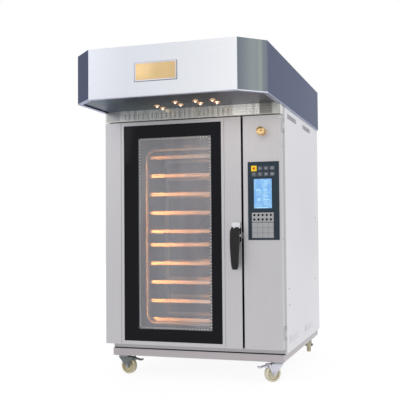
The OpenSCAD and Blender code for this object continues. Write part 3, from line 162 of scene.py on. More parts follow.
def grained_steel(name, colour, along=2, rough=0.36, depth=0.05, cloud=0.10, metal=0.82,
                  edge=0.0012):
    """Stainless sheet whose grain runs along one axis: 0 is X, 1 is Y and 2 is Z."""
    made, tree, shader = finish(name, Metallic=metal)
    where = add(tree, "TexCoord").outputs["Object"]
    scale = [GRAIN_PER_METRE] * 3
    scale[along] = STREAK_PER_METRE
    squeezed = add(tree, "Mapping", inputs={"Vector": where, "Scale": scale}).outputs[0]
    streaks = add(tree, "TexNoise", inputs={
        "Vector": squeezed, "Scale": 1.0, "Detail": 3.0}).outputs[0]
    # The slow cloud is partly wiping marks and partly painted reflections of the room
    clouds = add(tree, "TexNoise", inputs={
        "Vector": where, "Scale": CLOUD_PER_METRE, "Detail": 1.0}).outputs[0]
    light = add(tree, "MapRange", inputs={
        "Value": clouds, "From Min": 0.3, "From Max": 0.7,
        "To Min": 1.0 - cloud, "To Max": 1.0 + cloud}).outputs[0]
    line = add(tree, "MapRange", inputs={
        "Value": streaks, "From Min": 0.25, "From Max": 0.75,
        "To Min": 1.0 - depth, "To Max": 1.0 + depth}).outputs[0]
    both = add(tree, "Math", {"operation": "MULTIPLY"}, {0: light, 1: line}).outputs[0]
    put(shader, "Base Color", add(tree, "VectorMath", {"operation": "SCALE"}, {
        0: linear(colour)[:3], "Scale": both}).outputs[0])
    gloss = add(tree, "MapRange", inputs={
        "Value": streaks, "From Min": 0.25, "From Max": 0.75,
        "To Min": rough - 0.05, "To Max": rough + 0.05}).outputs[0]
    smear = add(tree, "MapRange", inputs={
        "Value": clouds, "To Min": -0.04, "To Max": 0.04}).outputs[0]
    put(shader, "Roughness", add(tree, "Math", {"operation": "ADD"}, {
        0: gloss, 1: smear}).outputs[0])
    rounded = add(tree, "Bevel", {"samples": 4}, {"Radius": edge}).outputs[0]
    put(shader, "Normal", add(tree, "Bump", inputs={
        "Strength": 0.06, "Distance": 0.0006, "Height": streaks, "Normal": rounded}).outputs[0])
    return made, tree, shader


def retint(tree, shader, colour):
    """Multiplies a finish's colour by another colour."""
    before = shader.inputs["Base Color"].links[0].from_socket
    put(shader, "Base Color", add(tree, "Mix", {"data_type": "RGBA", "blend_type": "MULTIPLY"}, {
        0: 1.0, 6: colour, 7: before}).outputs[2])


door_steel = grained_steel("brushed_stainless_door", "#C3C1C4", cloud=0.03, depth=0.03,
                           rough=0.42, metal=0.65)[0]
frame_steel = grained_steel("brushed_stainless_portal", "#A9A7AA", cloud=0.06)[0]
side_steel = grained_steel("brushed_stainless_side", "#D8D7DC", cloud=0.03, depth=0.03)[0]
base_steel = grained_steel("brushed_stainless_tube", "#B3ADB0", along=0, cloud=0.06)[0]
chamber_steel = grained_steel("dull_stainless_chamber", "#9C9DA4", rough=0.5, metal=0.6)[0]
zinc_plate = grained_steel("zinc_coated_sheet", "#A3A7AA", along=1, rough=0.5, cloud=0.2)[0]
turned_steel = grained_steel("turned_steel", "#9C9DA0", rough=0.3, edge=0.0004)[0]
print("materials so far:", len(bpy.data.materials))

# %% [markdown]
# ## The hood's sheets
# The hood is bent from the same steel, but each face mirrors another part of the room,
# and these reflections are painted into its colour: the front is pale and gets paler to
# the right, while the cut corners and the long sides are slate grey. A small studio can't
# give one object four surroundings, so the painted reflection follows the way each sheet
# faces on the object, which stays true from every side. Seen along its length a sheet
# turns to a mirror, so the glancing reflection is tinted too. The right corner has two
# faint upright streaks of painted reflection, and the hood's lower lip has a painted
# highlight.
# %% Hood steel, with reflections painted by the way a sheet faces
FRONT_TINT, FRONT_PALE_TINT, FRONT_RAMP_X = "#CCCFD6", "#F2F4F7", (-0.2, 0.45)
SIDE_TINT, BACK_TINT, UNDER_TINT, TOP_TINT = "#515464", "#B9BCC4", "#5F6678", "#C9CDD4"
LEFT_CORNER_TINT, RIGHT_CORNER_TINT = "#4B4E5E", "#5F666D"
# The two upright streaks on the right corner are painted reflections
CORNER_REFLECTION_STREAKS = ((0.500, 0.010, 0.05, "#72797B"), (0.530, 0.001, 0.012, "#7A817E"))
LIP_Z, LIP_HALF, LIP_HIGHLIGHT_TINT = 1.6200, 0.01, "#BFC1CA"
GLANCE_TINT = "#BCC4DC"
hood_steel, tree, shader = grained_steel("brushed_stainless_hood", "#FFFFFF", along=0,
                                         cloud=0.02, depth=0.012, rough=0.32)
shader.inputs["Specular Tint"].default_value = linear(GLANCE_TINT)
place = add(tree, "SeparateXYZ", inputs={0: add(tree, "TexCoord").outputs["Object"]}).outputs
paler = add(tree, "MapRange", inputs={
    "Value": place[0], "From Min": FRONT_RAMP_X[0], "From Max": FRONT_RAMP_X[1]}).outputs[0]
front_tint = add(tree, "Mix", {"data_type": "RGBA"}, {
    0: paler, 6: FRONT_TINT, 7: FRONT_PALE_TINT}).outputs[2]
corner = RIGHT_CORNER_TINT
for middle, half, soft, colour in CORNER_REFLECTION_STREAKS:
    corner = add(tree, "Mix", {"data_type": "RGBA"}, {
        0: near(tree, place[0], middle, half, soft), 6: corner, 7: colour}).outputs[2]
tints = add(tree, "Mix", {"data_type": "RGBA"}, {
    0: facing(tree, (0, -1, 0), 0.9, 0.98), 6: corner, 7: front_tint}).outputs[2]
for axis, low, high, colour in (((-1, -1, 0), 1.2, 1.35, LEFT_CORNER_TINT),
                                ((1, 0, 0), 0.86, 0.95, SIDE_TINT),
                                ((-1, 0, 0), 0.86, 0.95, SIDE_TINT),
                                ((0, 1, 0), 0.8, 0.95, BACK_TINT),
                                ((0, 0, -1), 0.5, 0.9, UNDER_TINT),
                                ((0, 0, 1), 0.5, 0.9, TOP_TINT)):
    tints = add(tree, "Mix", {"data_type": "RGBA"}, {
        0: facing(tree, axis, low, high), 6: tints, 7: colour}).outputs[2]
# The hood's lower lip gets a painted highlight
lip = near(tree, place[2], LIP_Z, LIP_HALF, 0.001)
tints = add(tree, "Mix", {"data_type": "RGBA"}, {0: lip, 6: tints, 7: LIP_HIGHLIGHT_TINT}).outputs[2]
retint(tree, shader, tints)
print("hood tints:", FRONT_TINT, SIDE_TINT, LEFT_CORNER_TINT, RIGHT_CORNER_TINT)

# %% [markdown]
# ## The soffit and the slotted band
# The hood's underside is polished and hangs over the doors, so its colour is painted
# reflection and shade: a dark teal on the left that turns to violet grey on the right,
# with long soft streaks. Its left end is a lighter slate. The band under it is a polished
# strip: pale grey, broken by bright and dark patches and stripes that are painted
# reflections. Both are painted by place along the oven's width.
# %% Polished sheets
# The soffit's colours are painted reflection and shade
SOFFIT_TEAL, SOFFIT_VIOLET, SOFFIT_RAMP_X = "#24404E", "#55555F", (-0.40, 0.25)
SOFFIT_END, SOFFIT_END_X = "#5C6176", (-0.56, -0.36)
soffit_steel, tree, shader = grained_steel("polished_stainless_soffit", "#FFFFFF", along=0,
                                           cloud=0.25, depth=0.06, rough=0.42)
place = add(tree, "SeparateXYZ", inputs={0: add(tree, "TexCoord").outputs["Object"]}).outputs
across = add(tree, "MapRange", inputs={
    "Value": place[0], "From Min": SOFFIT_RAMP_X[0], "From Max": SOFFIT_RAMP_X[1]}).outputs[0]
soffit_reflection = add(tree, "Mix", {"data_type": "RGBA"}, {
    0: across, 6: SOFFIT_TEAL, 7: SOFFIT_VIOLET}).outputs[2]
corner = add(tree, "MapRange", inputs={
    "Value": place[0], "From Min": SOFFIT_END_X[0], "From Max": SOFFIT_END_X[1]}).outputs[0]
soffit_reflection = add(tree, "Mix", {"data_type": "RGBA"}, {
    0: corner, 6: SOFFIT_END, 7: soffit_reflection}).outputs[2]
retint(tree, shader, soffit_reflection)

# The band's light and dark stripes and its patches are painted reflections and highlights
BAND_DARK, BAND_LIGHT, BAND_EDGE, BAND_EDGE_Z = "#B8B9B5", "#DCDDD9", "#C2C4BE", (1.5705, 1.5735)
BAND_REFLECTION_PATCHES = ((0.310, 0.035, "#F0F3F1"), (0.372, 0.010, "#F6F8F4"), (0.418, 0.008, "#F6F8F4"),
                (0.470, 0.034, "#8A8B85"), (0.530, 0.018, "#C9CBC4"), (-0.500, 0.040, "#A0A0A0"))
band_steel, tree, shader = grained_steel("polished_stainless_band", "#FFFFFF", along=0,
                                         cloud=0.05, depth=0.04, rough=0.25, metal=0.5)
place = add(tree, "SeparateXYZ", inputs={0: add(tree, "TexCoord").outputs["Object"]}).outputs
band_reflection_stripes = add(tree, "Mapping", inputs={
    "Vector": add(tree, "TexCoord").outputs["Object"], "Scale": (90, 0, 4)}).outputs[0]
band_reflection_stripes = add(tree, "TexNoise", inputs={"Vector": band_reflection_stripes, "Scale": 1.0, "Detail": 1.0}).outputs[0]
band_reflection_stripes = add(tree, "MapRange", inputs={
    "Value": band_reflection_stripes, "From Min": 0.35, "From Max": 0.65}).outputs[0]
colours = add(tree, "Mix", {"data_type": "RGBA"}, {
    0: band_reflection_stripes, 6: BAND_DARK, 7: BAND_LIGHT}).outputs[2]
for middle, half, colour in BAND_REFLECTION_PATCHES:
    colours = add(tree, "Mix", {"data_type": "RGBA"}, {
        0: near(tree, place[0], middle, half, 0.012), 6: colours, 7: colour}).outputs[2]
edge_line = add(tree, "MapRange", inputs={
    "Value": place[2], "From Min": BAND_EDGE_Z[0], "From Max": BAND_EDGE_Z[1],
    "To Min": 1.0, "To Max": 0.0}).outputs[0]
colours = add(tree, "Mix", {"data_type": "RGBA"}, {
    0: edge_line, 6: colours, 7: BAND_EDGE}).outputs[2]
retint(tree, shader, colours)
print("patches on the band:", len(BAND_REFLECTION_PATCHES))

# %% [markdown]
# ## Plain finishes
# Castings, plated pressings, mouldings and seals each need less: one colour, a little
# unevenness, and the gloss of their kind. Mouldings have a faint texture from the
# tool, cast parts a coarser one, so each finish says how large its texture is.
# %% Finishes with a fine texture
def textured(name, colour, grain_mm, bump, rough, metal=0.0, vary=0.06, **sockets):
    """A surface of one colour, with a fine bump whose grain is given in millimetres."""
    made, tree, shader = finish(name, Metallic=metal, **sockets)
    where = add(tree, "TexCoord").outputs["Object"]
    grain = add(tree, "TexNoise", inputs={
        "Vector": where, "Scale": 1000.0 / grain_mm, "Detail": 2.0}).outputs[0]
    patches = add(tree, "TexNoise", inputs={
        "Vector": where, "Scale": 9.0, "Detail": 2.0}).outputs[0]
    lightness = add(tree, "MapRange", inputs={
        "Value": patches, "From Min": 0.3, "From Max": 0.7,
        "To Min": 1.0 - vary, "To Max": 1.0 + vary}).outputs[0]
    put(shader, "Base Color", add(tree, "VectorMath", {"operation": "SCALE"}, {
        0: linear(colour)[:3], "Scale": lightness}).outputs[0])
    put(shader, "Roughness", add(tree, "MapRange", inputs={
        "Value": patches, "To Min": rough - 0.06, "To Max": rough + 0.06}).outputs[0])
    put(shader, "Normal", add(tree, "Bump", inputs={
        "Strength": bump, "Distance": 0.0004, "Height": grain}).outputs[0])
    return made


black_nylon = textured("moulded_black_nylon", "#131315", 1.2, 0.06, 0.22, Specular_IOR_Level=0.3)
silicone = textured("black_silicone", "#0E0E10", 2.0, 0.1, 0.6, Specular_IOR_Level=0.2)
cast_grey = textured("painted_casting", "#5A6167", 3.0, 0.3, 0.55)
dark_zinc = textured("dark_zinc_pressing", "#6F7373", 4.0, 0.15, 0.42, metal=0.7, vary=0.2)
# The runners' warm tint is partly the steel's own tone and partly painted light of the warm chamber
# lamp
rack_steel = textured("satin_stainless_runner", "#D2C8B8", 2.0, 0.02, 0.38, metal=0.5,
                      vary=0.04)
tube_steel = textured("satin_stainless_tube", "#A9A59E", 2.0, 0.02, 0.42, metal=0.8,
                      vary=0.04)
pale_zinc = textured("bright_zinc_pressing", "#D2D0DA", 4.0, 0.1, 0.35, metal=0.7, vary=0.08)
cream_nylon = textured("cast_cream_nylon", "#D3CAA8", 2.0, 0.05, 0.45, vary=0.1)
pale_nylon = textured("cast_pale_nylon", "#E6DFC6", 2.0, 0.05, 0.45, vary=0.08)
tan_nylon = textured("darker_cream_nylon", "#A89C70", 2.0, 0.05, 0.5, vary=0.1)
chrome = textured("polished_chrome", "#D5D6DA", 20.0, 0.0, 0.1, metal=1.0, vary=0.03)
brass = textured("polished_brass", "#E6C48C", 8.0, 0.03, 0.2, metal=0.9, vary=0.08)
plate_brass = textured("satin_brass_plate", "#DABC8A", 3.0, 0.08, 0.38, metal=0.7, vary=0.07)
panel_blue = textured("printed_polyester_panel", "#22303B", 1.0, 0.05, 0.45, vary=0.03,
                      Specular_IOR_Level=0.25)
key_grey = textured("printed_grey_keys", "#A2A3A5", 1.0, 0.05, 0.5, vary=0.04)
key_shade = textured("printed_grey_lines", "#6E7176", 1.0, 0.05, 0.5, vary=0.04)
key_slate = textured("printed_slate_keys", "#4B525A", 1.0, 0.05, 0.5, vary=0.05)
key_dark = textured("printed_dark_dots", "#0C0D10", 1.0, 0.05, 0.45, Specular_IOR_Level=0.2)
mark_white = textured("printed_pale_marks", "#A9AEB4", 1.0, 0.05, 0.5)
amber = textured("moulded_amber_key", "#F0CE10", 1.0, 0.05, 0.35)
orange = textured("moulded_orange_ring", "#DE7A14", 1.0, 0.05, 0.35)
red_orange = textured("moulded_red_centre", "#C2461A", 1.0, 0.05, 0.35)
heater_sheath = textured("oxidised_heater_sheath", "#4A3A33", 2.0, 0.2, 0.6, metal=0.5)
wool = textured("pressed_mineral_wool", "#A79566", 2.5, 1.0, 0.95, vary=0.15)
device_grey = textured("grey_switchgear_plastic", "#A8ABAD", 1.5, 0.08, 0.45)
baffle_grey = textured("pressed_vent_baffle", "#B4B4B0", 3.0, 0.08, 0.4, metal=0.6, vary=0.15)
spacer_strip = textured("dark_anodised_strip", "#141518", 3.0, 0.05, 0.45, metal=0.2, vary=0.1)
print("materials so far:", len(bpy.data.materials))

# %% [markdown]
# ## Glass
# The outer pane is toughened glass with a black ceramic border, fired on from behind,
# that hides the inner frame. Only the window in its middle is clear, and it is
# tinted, which is why the chamber looks grey. One pane carries both, so the finish
# asks how far a point lies from the window's middle. Faint upright streaks in the
# window are the pale things in the room that such glass shows.
# %% Door glass with its fired border
inner_lo, inner_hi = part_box("inner_glass")
PANE_LAP = 0.010
BORDER_BLACK, WINDOW_DARK, WINDOW_PALE, WINDOW_ALPHA = "#0B0A12", "#ABADB5", "#BFC1C6", 0.3
WINDOW_STREAKS_PER_METRE = (14, 1, 1.6)
window_lo = Vector((inner_lo[0] + PANE_LAP, 0, inner_lo[2] + PANE_LAP))
window_hi = Vector((inner_hi[0] - PANE_LAP, 0, inner_hi[2] - PANE_LAP))
window_mid = (window_lo + window_hi) / 2
window_half = (window_hi - window_lo) / 2

door_glass, tree, shader = finish("tinted_toughened_glass", Roughness=0.06, IOR=1.5,
                                  Specular_IOR_Level=0.14)
where = add(tree, "TexCoord").outputs["Object"]
place = add(tree, "SeparateXYZ", inputs={0: where}).outputs
clear = add(tree, "Math", {"operation": "MULTIPLY"}, {
    0: near(tree, place[0], window_mid[0], window_half[0]),
    1: near(tree, place[2], window_mid[2], window_half[2])}).outputs[0]
streaks = add(tree, "TexNoise", inputs={
    "Vector": add(tree, "Mapping", inputs={
        "Vector": where, "Scale": WINDOW_STREAKS_PER_METRE}).outputs[0],
    "Scale": 1.0, "Detail": 2.0}).outputs[0]
streaks = add(tree, "MapRange", inputs={
    "Value": streaks, "From Min": 0.35, "From Max": 0.7}).outputs[0]
tinted = add(tree, "Mix", {"data_type": "RGBA"}, {
    0: streaks, 6: WINDOW_DARK, 7: WINDOW_PALE}).outputs[2]
put(shader, "Base Color", add(tree, "Mix", {"data_type": "RGBA"}, {
    0: clear, 6: BORDER_BLACK, 7: tinted}).outputs[2])
put(shader, "Alpha", add(tree, "MapRange", inputs={
    "Value": clear, "To Min": 1.0, "To Max": WINDOW_ALPHA}).outputs[0])
clear_glass = finish("clear_borosilicate_glass", Roughness=0.03, IOR=1.47, Alpha=0.06,
                     Base_Color="#B8BCBC")[0]
print("window, mm:", [round(2000 * window_half[i]) for i in (0, 2)])

# %% [markdown]
# ## Things that glow
# The display is a lit liquid-crystal panel: pale blue, uneven, with brighter figures on
# it. The oven lamps are halogen tubes behind frosted covers, warm white. The hood has
# small spot lamps of the same kind, each in a reflector ring with a painted orange glow,
# for the ring is no lamp.
# %% Lit finishes
def glowing(name, colour, strength, base="#F4E6C8"):
    """A surface that gives light of its own: real for lamps and the display, painted for the rings'
    glow and the vents' glint.
    """
    return finish(name, Roughness=0.4, Base_Color=base, Emission_Color=colour,
                  Emission_Strength=strength)


lamp_cover = glowing("frosted_lamp_glass", "#FFC98A", 3.0)[0]
spot_lens = glowing("halogen_spot_lens", "#FFE6C6", 1.5)[0]
# The reflector rings' orange glow is painted light; the rings are no lamps
spot_ring_painted_glow = glowing("reflector_ring_painted_glow", "#C87440", 0.5, base="#7A5A44")[0]
# The vents' glow is a painted glint, not a lamp
vent_glint = glowing("vent_rims_painted_glint", "#FFF4E4", 0.3)[0]
lit_mark = glowing("lit_display_figures", "#A6D9FF", 0.86, base="#3C5C76")[0]
display, tree, shader = glowing("lit_display", "#8FC6FA", 0.82, base="#1E3A54")
where = add(tree, "TexCoord").outputs["Object"]
patch = add(tree, "TexNoise", inputs={"Vector": where, "Scale": 34.0, "Detail": 2.0}).outputs[0]
patch = add(tree, "MapRange", inputs={
    "Value": patch, "From Min": 0.4, "From Max": 0.7}).outputs[0]
put(shader, "Emission Color", add(tree, "Mix", {"data_type": "RGBA"}, {
    0: patch, 6: "#7DBAF5", 7: "#A9D9FD"}).outputs[2])
print("lamp colours set")

# %% [markdown]
# ## Give every solid its finish
# Each solid of the frame takes one of the finishes above. The list reads like the
# oven's bill of materials.
# %% Assign finishes to the solids
FINISH_OF = {
    door_steel: "door_frame control_door",
    frame_steel: "front_portal inner_door_panel",
    side_steel: "left_panel right_panel rear_panel",
    zinc_plate: "floor_pan roof_panel caster_plates",
    base_steel: "base_frame",
    chamber_steel: "chamber_left_wall duct_wall back_baffle ceiling_plate chamber_floor "
                   "rear_wall fan_wheel",
    rack_steel: "rack_runners",
    tube_steel: "rack_hanger rack_frame",
    turned_steel: "hinge_brackets door_hinge_leaves latch_strikes latch_bolt knob_tongue "
                  "drive_shaft shaft_bearing pivot_socket flue_spigot",
    hood_steel: "hood_shell",
    soffit_steel: "hood_soffit",
    band_steel: "fascia_band",
    silicone: "door_gasket",
    cast_grey: "fan_motor gear_motor",
    heater_sheath: "heater_rings",
    wool: "insulation",
    device_grey: "electrics",
    lamp_cover: "oven_lamps",
    spot_lens: "hood_lamps",
    door_glass: "outer_glass",
    clear_glass: "inner_glass",
    chrome: "latch_base",
    black_nylon: "handle_grip",
    panel_blue: "controller_plate",
    display: "display_window",
    key_grey: "keypad",
    amber: "start_button",
    brass: "door_knob",
    dark_zinc: "fork_fl fork_rl fork_rr brake_pedal_fl",
    pale_zinc: "fork_fr brake_pedal_fr",
    cream_nylon: "wheel_fl wheel_rl wheel_rr",
    pale_nylon: "wheel_fr",
}
for material, names in FINISH_OF.items():
    for name in names.split():
        for place in nodes[name].material_slots:
            place.material = material
        if not nodes[name].material_slots:
            nodes[name].data.materials.append(material)
bare = [n for n in nodes if not any(n in names.split() for names in FINISH_OF.values())]
print("solids without a finish:", bare)

# %% [markdown]
# ## Helpers for small pieces
# The small pieces are built from a few workshop shapes: a block with eased edges, a
# turned part and a screw head. Each becomes one object that rides on a body of the
# oven and carries the finish it is given.
# %% Workshop shapes
def make_piece(name, shape, body, material):
    """Turns a bmesh into an object that rides on a body."""
    mesh = bpy.data.meshes.new(name)
    bmesh.ops.recalc_face_normals(shape, faces=shape.faces)
    shape.to_mesh(mesh)
    shape.free()
    made = bpy.data.objects.new(name, mesh)
    bpy.context.scene.collection.objects.link(made)
    mesh.materials.append(material)
    mesh.shade_smooth()
    mesh.set_sharp_from_angle(angle=math.radians(40))
    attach(made, body)
    return made


def eased_block(shape, low, high, ease=0.0008, steps=2):
    """Adds a block from its low to its high corner, with rounded edges."""
    low, high = Vector(low), Vector(high)
    cube = bmesh.ops.create_cube(shape, size=1.0)
    for vert in cube["verts"]:
        vert.co = Vector(a * b for a, b in zip(vert.co, high - low)) + (low + high) / 2
    edges = list({edge for vert in cube["verts"] for edge in vert.link_edges})
    bmesh.ops.bevel(shape, geom=edges, offset=ease, segments=steps, affect="EDGES", profile=0.5)


def turned(shape, profile, at, axis=(0, 0, 1), steps=32, bored=False):
    """Adds a turned part: profile is a list of (radius, height) along the axis."""
    turn = Vector(axis).to_track_quat("Z", "Y").to_matrix()
    rings = []
    for radius, height in profile:
        ring = []
        for k in range(steps):
            angle = 2 * math.pi * k / steps
            point = Vector((radius * math.cos(angle), radius * math.sin(angle), height))
            ring.append(shape.verts.new(Vector(at) + turn @ point))
        rings.append(ring)
    pairs = list(zip(rings, rings[1:])) + ([(rings[-1], rings[0])] if bored else [])
    for low, high in pairs:
        for k in range(steps):
            shape.faces.new((low[k], low[(k + 1) % steps], high[(k + 1) % steps], high[k]))
    if not bored:
        shape.faces.new(rings[0])
        shape.faces.new(rings[-1])


def washer(shape, at, axis, inner, outer, height, steps=40):
    """Adds a ring with a rounded outer edge that stands on a surface."""
    turned(shape, [(inner, 0), (outer, 0), (outer, height * 0.6), (outer - height * 0.4, height),
                   (inner, height)], at, axis, steps, bored=True)


def screw_head(shape, at, axis, radius=0.0035, height=0.0018, steps=16):
    """Adds a domed head with a socket that stands on a surface."""
    turned(shape, [(radius, 0.0), (radius, height * 0.4), (radius * 0.85, height * 0.8),
                   (radius * 0.45, height), (radius * 0.4, height * 0.55)], at, axis, steps)


print("workshop shapes ready")

# %% [markdown]
# ## The bare nameplate
# A bare brass plate in a silver rim sits on the hood's front. The face is a thin satin
# sheet, and the rim is four mitred rails around it, as a frame shop would make them,
# with a rivet in each corner. A grey pad behind it shows as a thin dark outline, wider
# below and to the sides than on top: a painted shadow of the plate.
# %% Nameplate on the hood
PLATE_LOW, PLATE_HIGH = (-0.150, 1.7095), (0.0935, 1.8115)
RIM_W, RIM_T, FACE_T, SHADOW_PAD_LAP = 0.0065, 0.0022, 0.0012, 0.0035
FACE_IN, RIVET_IN, SINK = 0.002, 0.012, 0.0004
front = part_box("hood_shell")[0][1]
shape = bmesh.new()
eased_block(shape, (PLATE_LOW[0] + FACE_IN, front - FACE_T, PLATE_LOW[1] + FACE_IN),
            (PLATE_HIGH[0] - FACE_IN, front + SINK, PLATE_HIGH[1] - FACE_IN), ease=0.0004)
make_piece("nameplate_face", shape, "cabinet", plate_brass)
shape = bmesh.new()
outer = [(PLATE_LOW[0], PLATE_LOW[1]), (PLATE_HIGH[0], PLATE_LOW[1]),
         (PLATE_HIGH[0], PLATE_HIGH[1]), (PLATE_LOW[0], PLATE_HIGH[1])]
centre = ((PLATE_LOW[0] + PLATE_HIGH[0]) / 2, (PLATE_LOW[1] + PLATE_HIGH[1]) / 2)
RAIL = ((0, SINK), (0, -RIM_T * 0.7), (RIM_W * 0.3, -RIM_T), (RIM_W * 0.8, -RIM_T * 0.9),
        (RIM_W, -RIM_T * 0.4), (RIM_W, SINK))
loops = []
for inset, depth in RAIL:
    loops.append([shape.verts.new((x + math.copysign(inset, centre[0] - x), front + depth,
                                   z + math.copysign(inset, centre[1] - z))) for x, z in outer])
for low, high in zip(loops, loops[1:] + loops[:1]):
    for k in range(4):
        shape.faces.new((low[k], low[(k + 1) % 4], high[(k + 1) % 4], high[k]))
make_piece("nameplate_rim", shape, "cabinet", pale_zinc)
# The grey pad is a painted shadow around the plate, narrower on top
shape = bmesh.new()
eased_block(shape, (PLATE_LOW[0] - SHADOW_PAD_LAP, front - 0.0005, PLATE_LOW[1] - SHADOW_PAD_LAP),
            (PLATE_HIGH[0] + SHADOW_PAD_LAP, front + SINK, PLATE_HIGH[1] + SHADOW_PAD_LAP * 0.4), ease=0.0002)
make_piece("nameplate_painted_shadow", shape, "cabinet", cast_grey)
shape = bmesh.new()
for x, z in outer:
    screw_head(shape, (x + math.copysign(RIVET_IN, centre[0] - x), front - FACE_T,
                       z + math.copysign(RIVET_IN, centre[1] - z)), (0, -1, 0), 0.0022, 0.001)
make_piece("nameplate_rivets", shape, "cabinet", brass)
print("plate, mm:", [round(1000 * (b - a)) for a, b in zip(PLATE_LOW, PLATE_HIGH)])

# %% [markdown]
# ## The keypad's print
# The keypad is a membrane: a printed sheet over dome switches. Light grey ink carries
# the ten round keys, darker grey lines part the twelve square ones, and slate caps with
# small pale signs cover the function keys. The signs are generic: a bar, an arrow, a
# frame, a dot and the like. Ink is modelled as sheets a fraction of a millimetre thick.
# %% Membrane, dots and signs
sheet_y, key_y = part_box("controller_plate")[0][1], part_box("keypad")[0][1]
DOT_X, DOT_Z, DOT_R = [0.3945 + 0.0245 * i for i in range(5)], (0.9540, 0.9797), 0.0068
FIELD_X, FIELD_Z = (0.3800, 0.5080), (0.8465, 0.9405, 0.9935)
INK_FIELDS = (("dot_key_field", FIELD_Z[1:], 0.0003, key_grey),
              ("square_key_field", FIELD_Z[:2], 0.0002, key_shade))
for name, (z0, z1), ink_t, ink in INK_FIELDS:
    shape = bmesh.new()
    eased_block(shape, (FIELD_X[0], sheet_y - ink_t, z0), (FIELD_X[1], sheet_y + 0.0002, z1), 0.0002)
    make_piece(name, shape, "side_door", ink)
shape = bmesh.new()
for x in DOT_X:
    for z in DOT_Z:
        turned(shape, [(DOT_R, 0), (DOT_R, 0.0006), (DOT_R * 0.8, 0.0011), (DOT_R * 0.4, 0.0014)],
               (x, key_y + 0.0005, z), (0, -1, 0), 24)
make_piece("round_key_domes", shape, "side_door", key_dark)

ICON_X, ICON_Z = [0.395 + 0.036 * i for i in range(4)], (1.2510, 1.2170)
CAP_HALF = (0.0142, 0.0122)
places = [(x, z) for z in ICON_Z for x in ICON_X][1:]
shape = bmesh.new()
for x, z in places:
    eased_block(shape, (x - CAP_HALF[0], key_y - 0.0004, z - CAP_HALF[1]),
                (x + CAP_HALF[0], key_y + 0.0004, z + CAP_HALF[1]), 0.0003)
make_piece("function_key_caps", shape, "side_door", key_slate)
# Strokes of each sign in millimetres from its cap's middle, as (left, low, right, high)
SIGNS = ([(-6, -1, 6, 1), (-6, 2.5, 2, 4)],
         [(-5, -5, -2, 5), (0, -3, 2, 3), (3, -1, 5, 1)],
         [(-7, -6, 7, -4), (-7, 4, 7, 6), (-7, -4, -5, 4), (5, -4, 7, 4)],
         [(-6, -4, -3, -1), (-2, -1, 1, 2), (2, 2, 5, 5)],
         [(-6, 2, -1, 5), (-2, -2, 2, 1), (1, -5, 6, -3)],
         [(-4, -4, 4, 4)],
         [(-7, -5, 7, -2), (-7, -0.5, 7, 1.5), (-7, 3, 7, 5)])
shape = bmesh.new()
for (x, z), strokes in zip(places, SIGNS):
    for x0, z0, x1, z1 in strokes:
        eased_block(shape, (x + x0 / 1000, key_y - 0.0007, z + z0 / 1000),
                    (x + x1 / 1000, key_y - 0.0003, z + z1 / 1000), 0.0001, 1)
make_piece("function_key_signs", shape, "side_door", mark_white)
print("round keys:", len(DOT_X) * len(DOT_Z), "function keys:", len(places))

# %% [markdown]
# ## Display figures and the start button
# Brighter blocks on the display stand for its rows of figures, with no lettering. The
# start button has a raised orange ring around a red centre, so that a finger finds it.
# %% Display and start button
lcd_lo, lcd_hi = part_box("display_window")
# Each block's middle and half size, as shares of the display's width and height
FIGURES = ((0.66, 0.91, 0.10, 0.030), (0.68, 0.83, 0.08, 0.030), (0.25, 0.62, 0.13, 0.035),
           (0.63, 0.63, 0.12, 0.035), (0.68, 0.41, 0.14, 0.025), (0.70, 0.30, 0.18, 0.025),
           (0.28, 0.30, 0.10, 0.045), (0.45, 0.025, 0.34, 0.018))
shape = bmesh.new()
lcd_w, lcd_h = lcd_hi[0] - lcd_lo[0], lcd_hi[2] - lcd_lo[2]
for u, v, half_w, half_h in FIGURES:
    x, z = lcd_lo[0] + u * lcd_w, lcd_lo[2] + v * lcd_h
    half_x, half_z = half_w * lcd_w, half_h * lcd_h
    eased_block(shape, (max(x - half_x, lcd_lo[0]), lcd_lo[1] - 0.0003, z - half_z),
                (min(x + half_x, lcd_hi[0]), lcd_lo[1] + 0.0002, z + half_z), 0.0002)
make_piece("display_figures", shape, "side_door", lit_mark)

button_lo, button_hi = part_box("start_button")
button_at = ((button_lo[0] + button_hi[0]) / 2, button_lo[1] + 0.0002,
             (button_lo[2] + button_hi[2]) / 2)
shape = bmesh.new()
washer(shape, button_at, (0, -1, 0), 0.0048, 0.0084, 0.0012)
make_piece("button_ring", shape, "button", orange)
shape = bmesh.new()
turned(shape, [(0.0047, 0), (0.0047, 0.0004), (0.0038, 0.0009), (0.0018, 0.0012)],
       button_at, (0, -1, 0), 28)
make_piece("button_centre", shape, "button", red_orange)
print("figures:", len(FIGURES), "button at:", [round(1000 * v) for v in button_at])

# %% [markdown]
# ## The knob's collar and slot
# The knob turns in a thin brass collar, and its face has a slot for a service key,
# whose shade is painted as a dark flat inlay with eased edges.
# %% Knob details
knob_lo, knob_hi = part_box("door_knob")
knob_x, knob_z = (knob_lo[0] + knob_hi[0]) / 2, (knob_lo[2] + knob_hi[2]) / 2
door_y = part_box("control_door")[0][1]
shape = bmesh.new()
washer(shape, (knob_x, door_y + 0.0002, knob_z), (0, -1, 0), 0.0175, 0.0235, 0.0018)
make_piece("knob_collar", shape, "side_door", brass)
# A dark flat inlay stands for the shade inside the key slot
shape = bmesh.new()
eased_block(shape, (knob_x + 0.002, knob_lo[1] - 0.0004, knob_z - 0.0022),
            (knob_x + 0.016, knob_lo[1] + 0.0004, knob_z + 0.0022), 0.0003)
make_piece("knob_slot_painted_shade", shape, "knob", heater_sheath)
print("knob at, mm:", round(1000 * knob_x), round(1000 * knob_z))

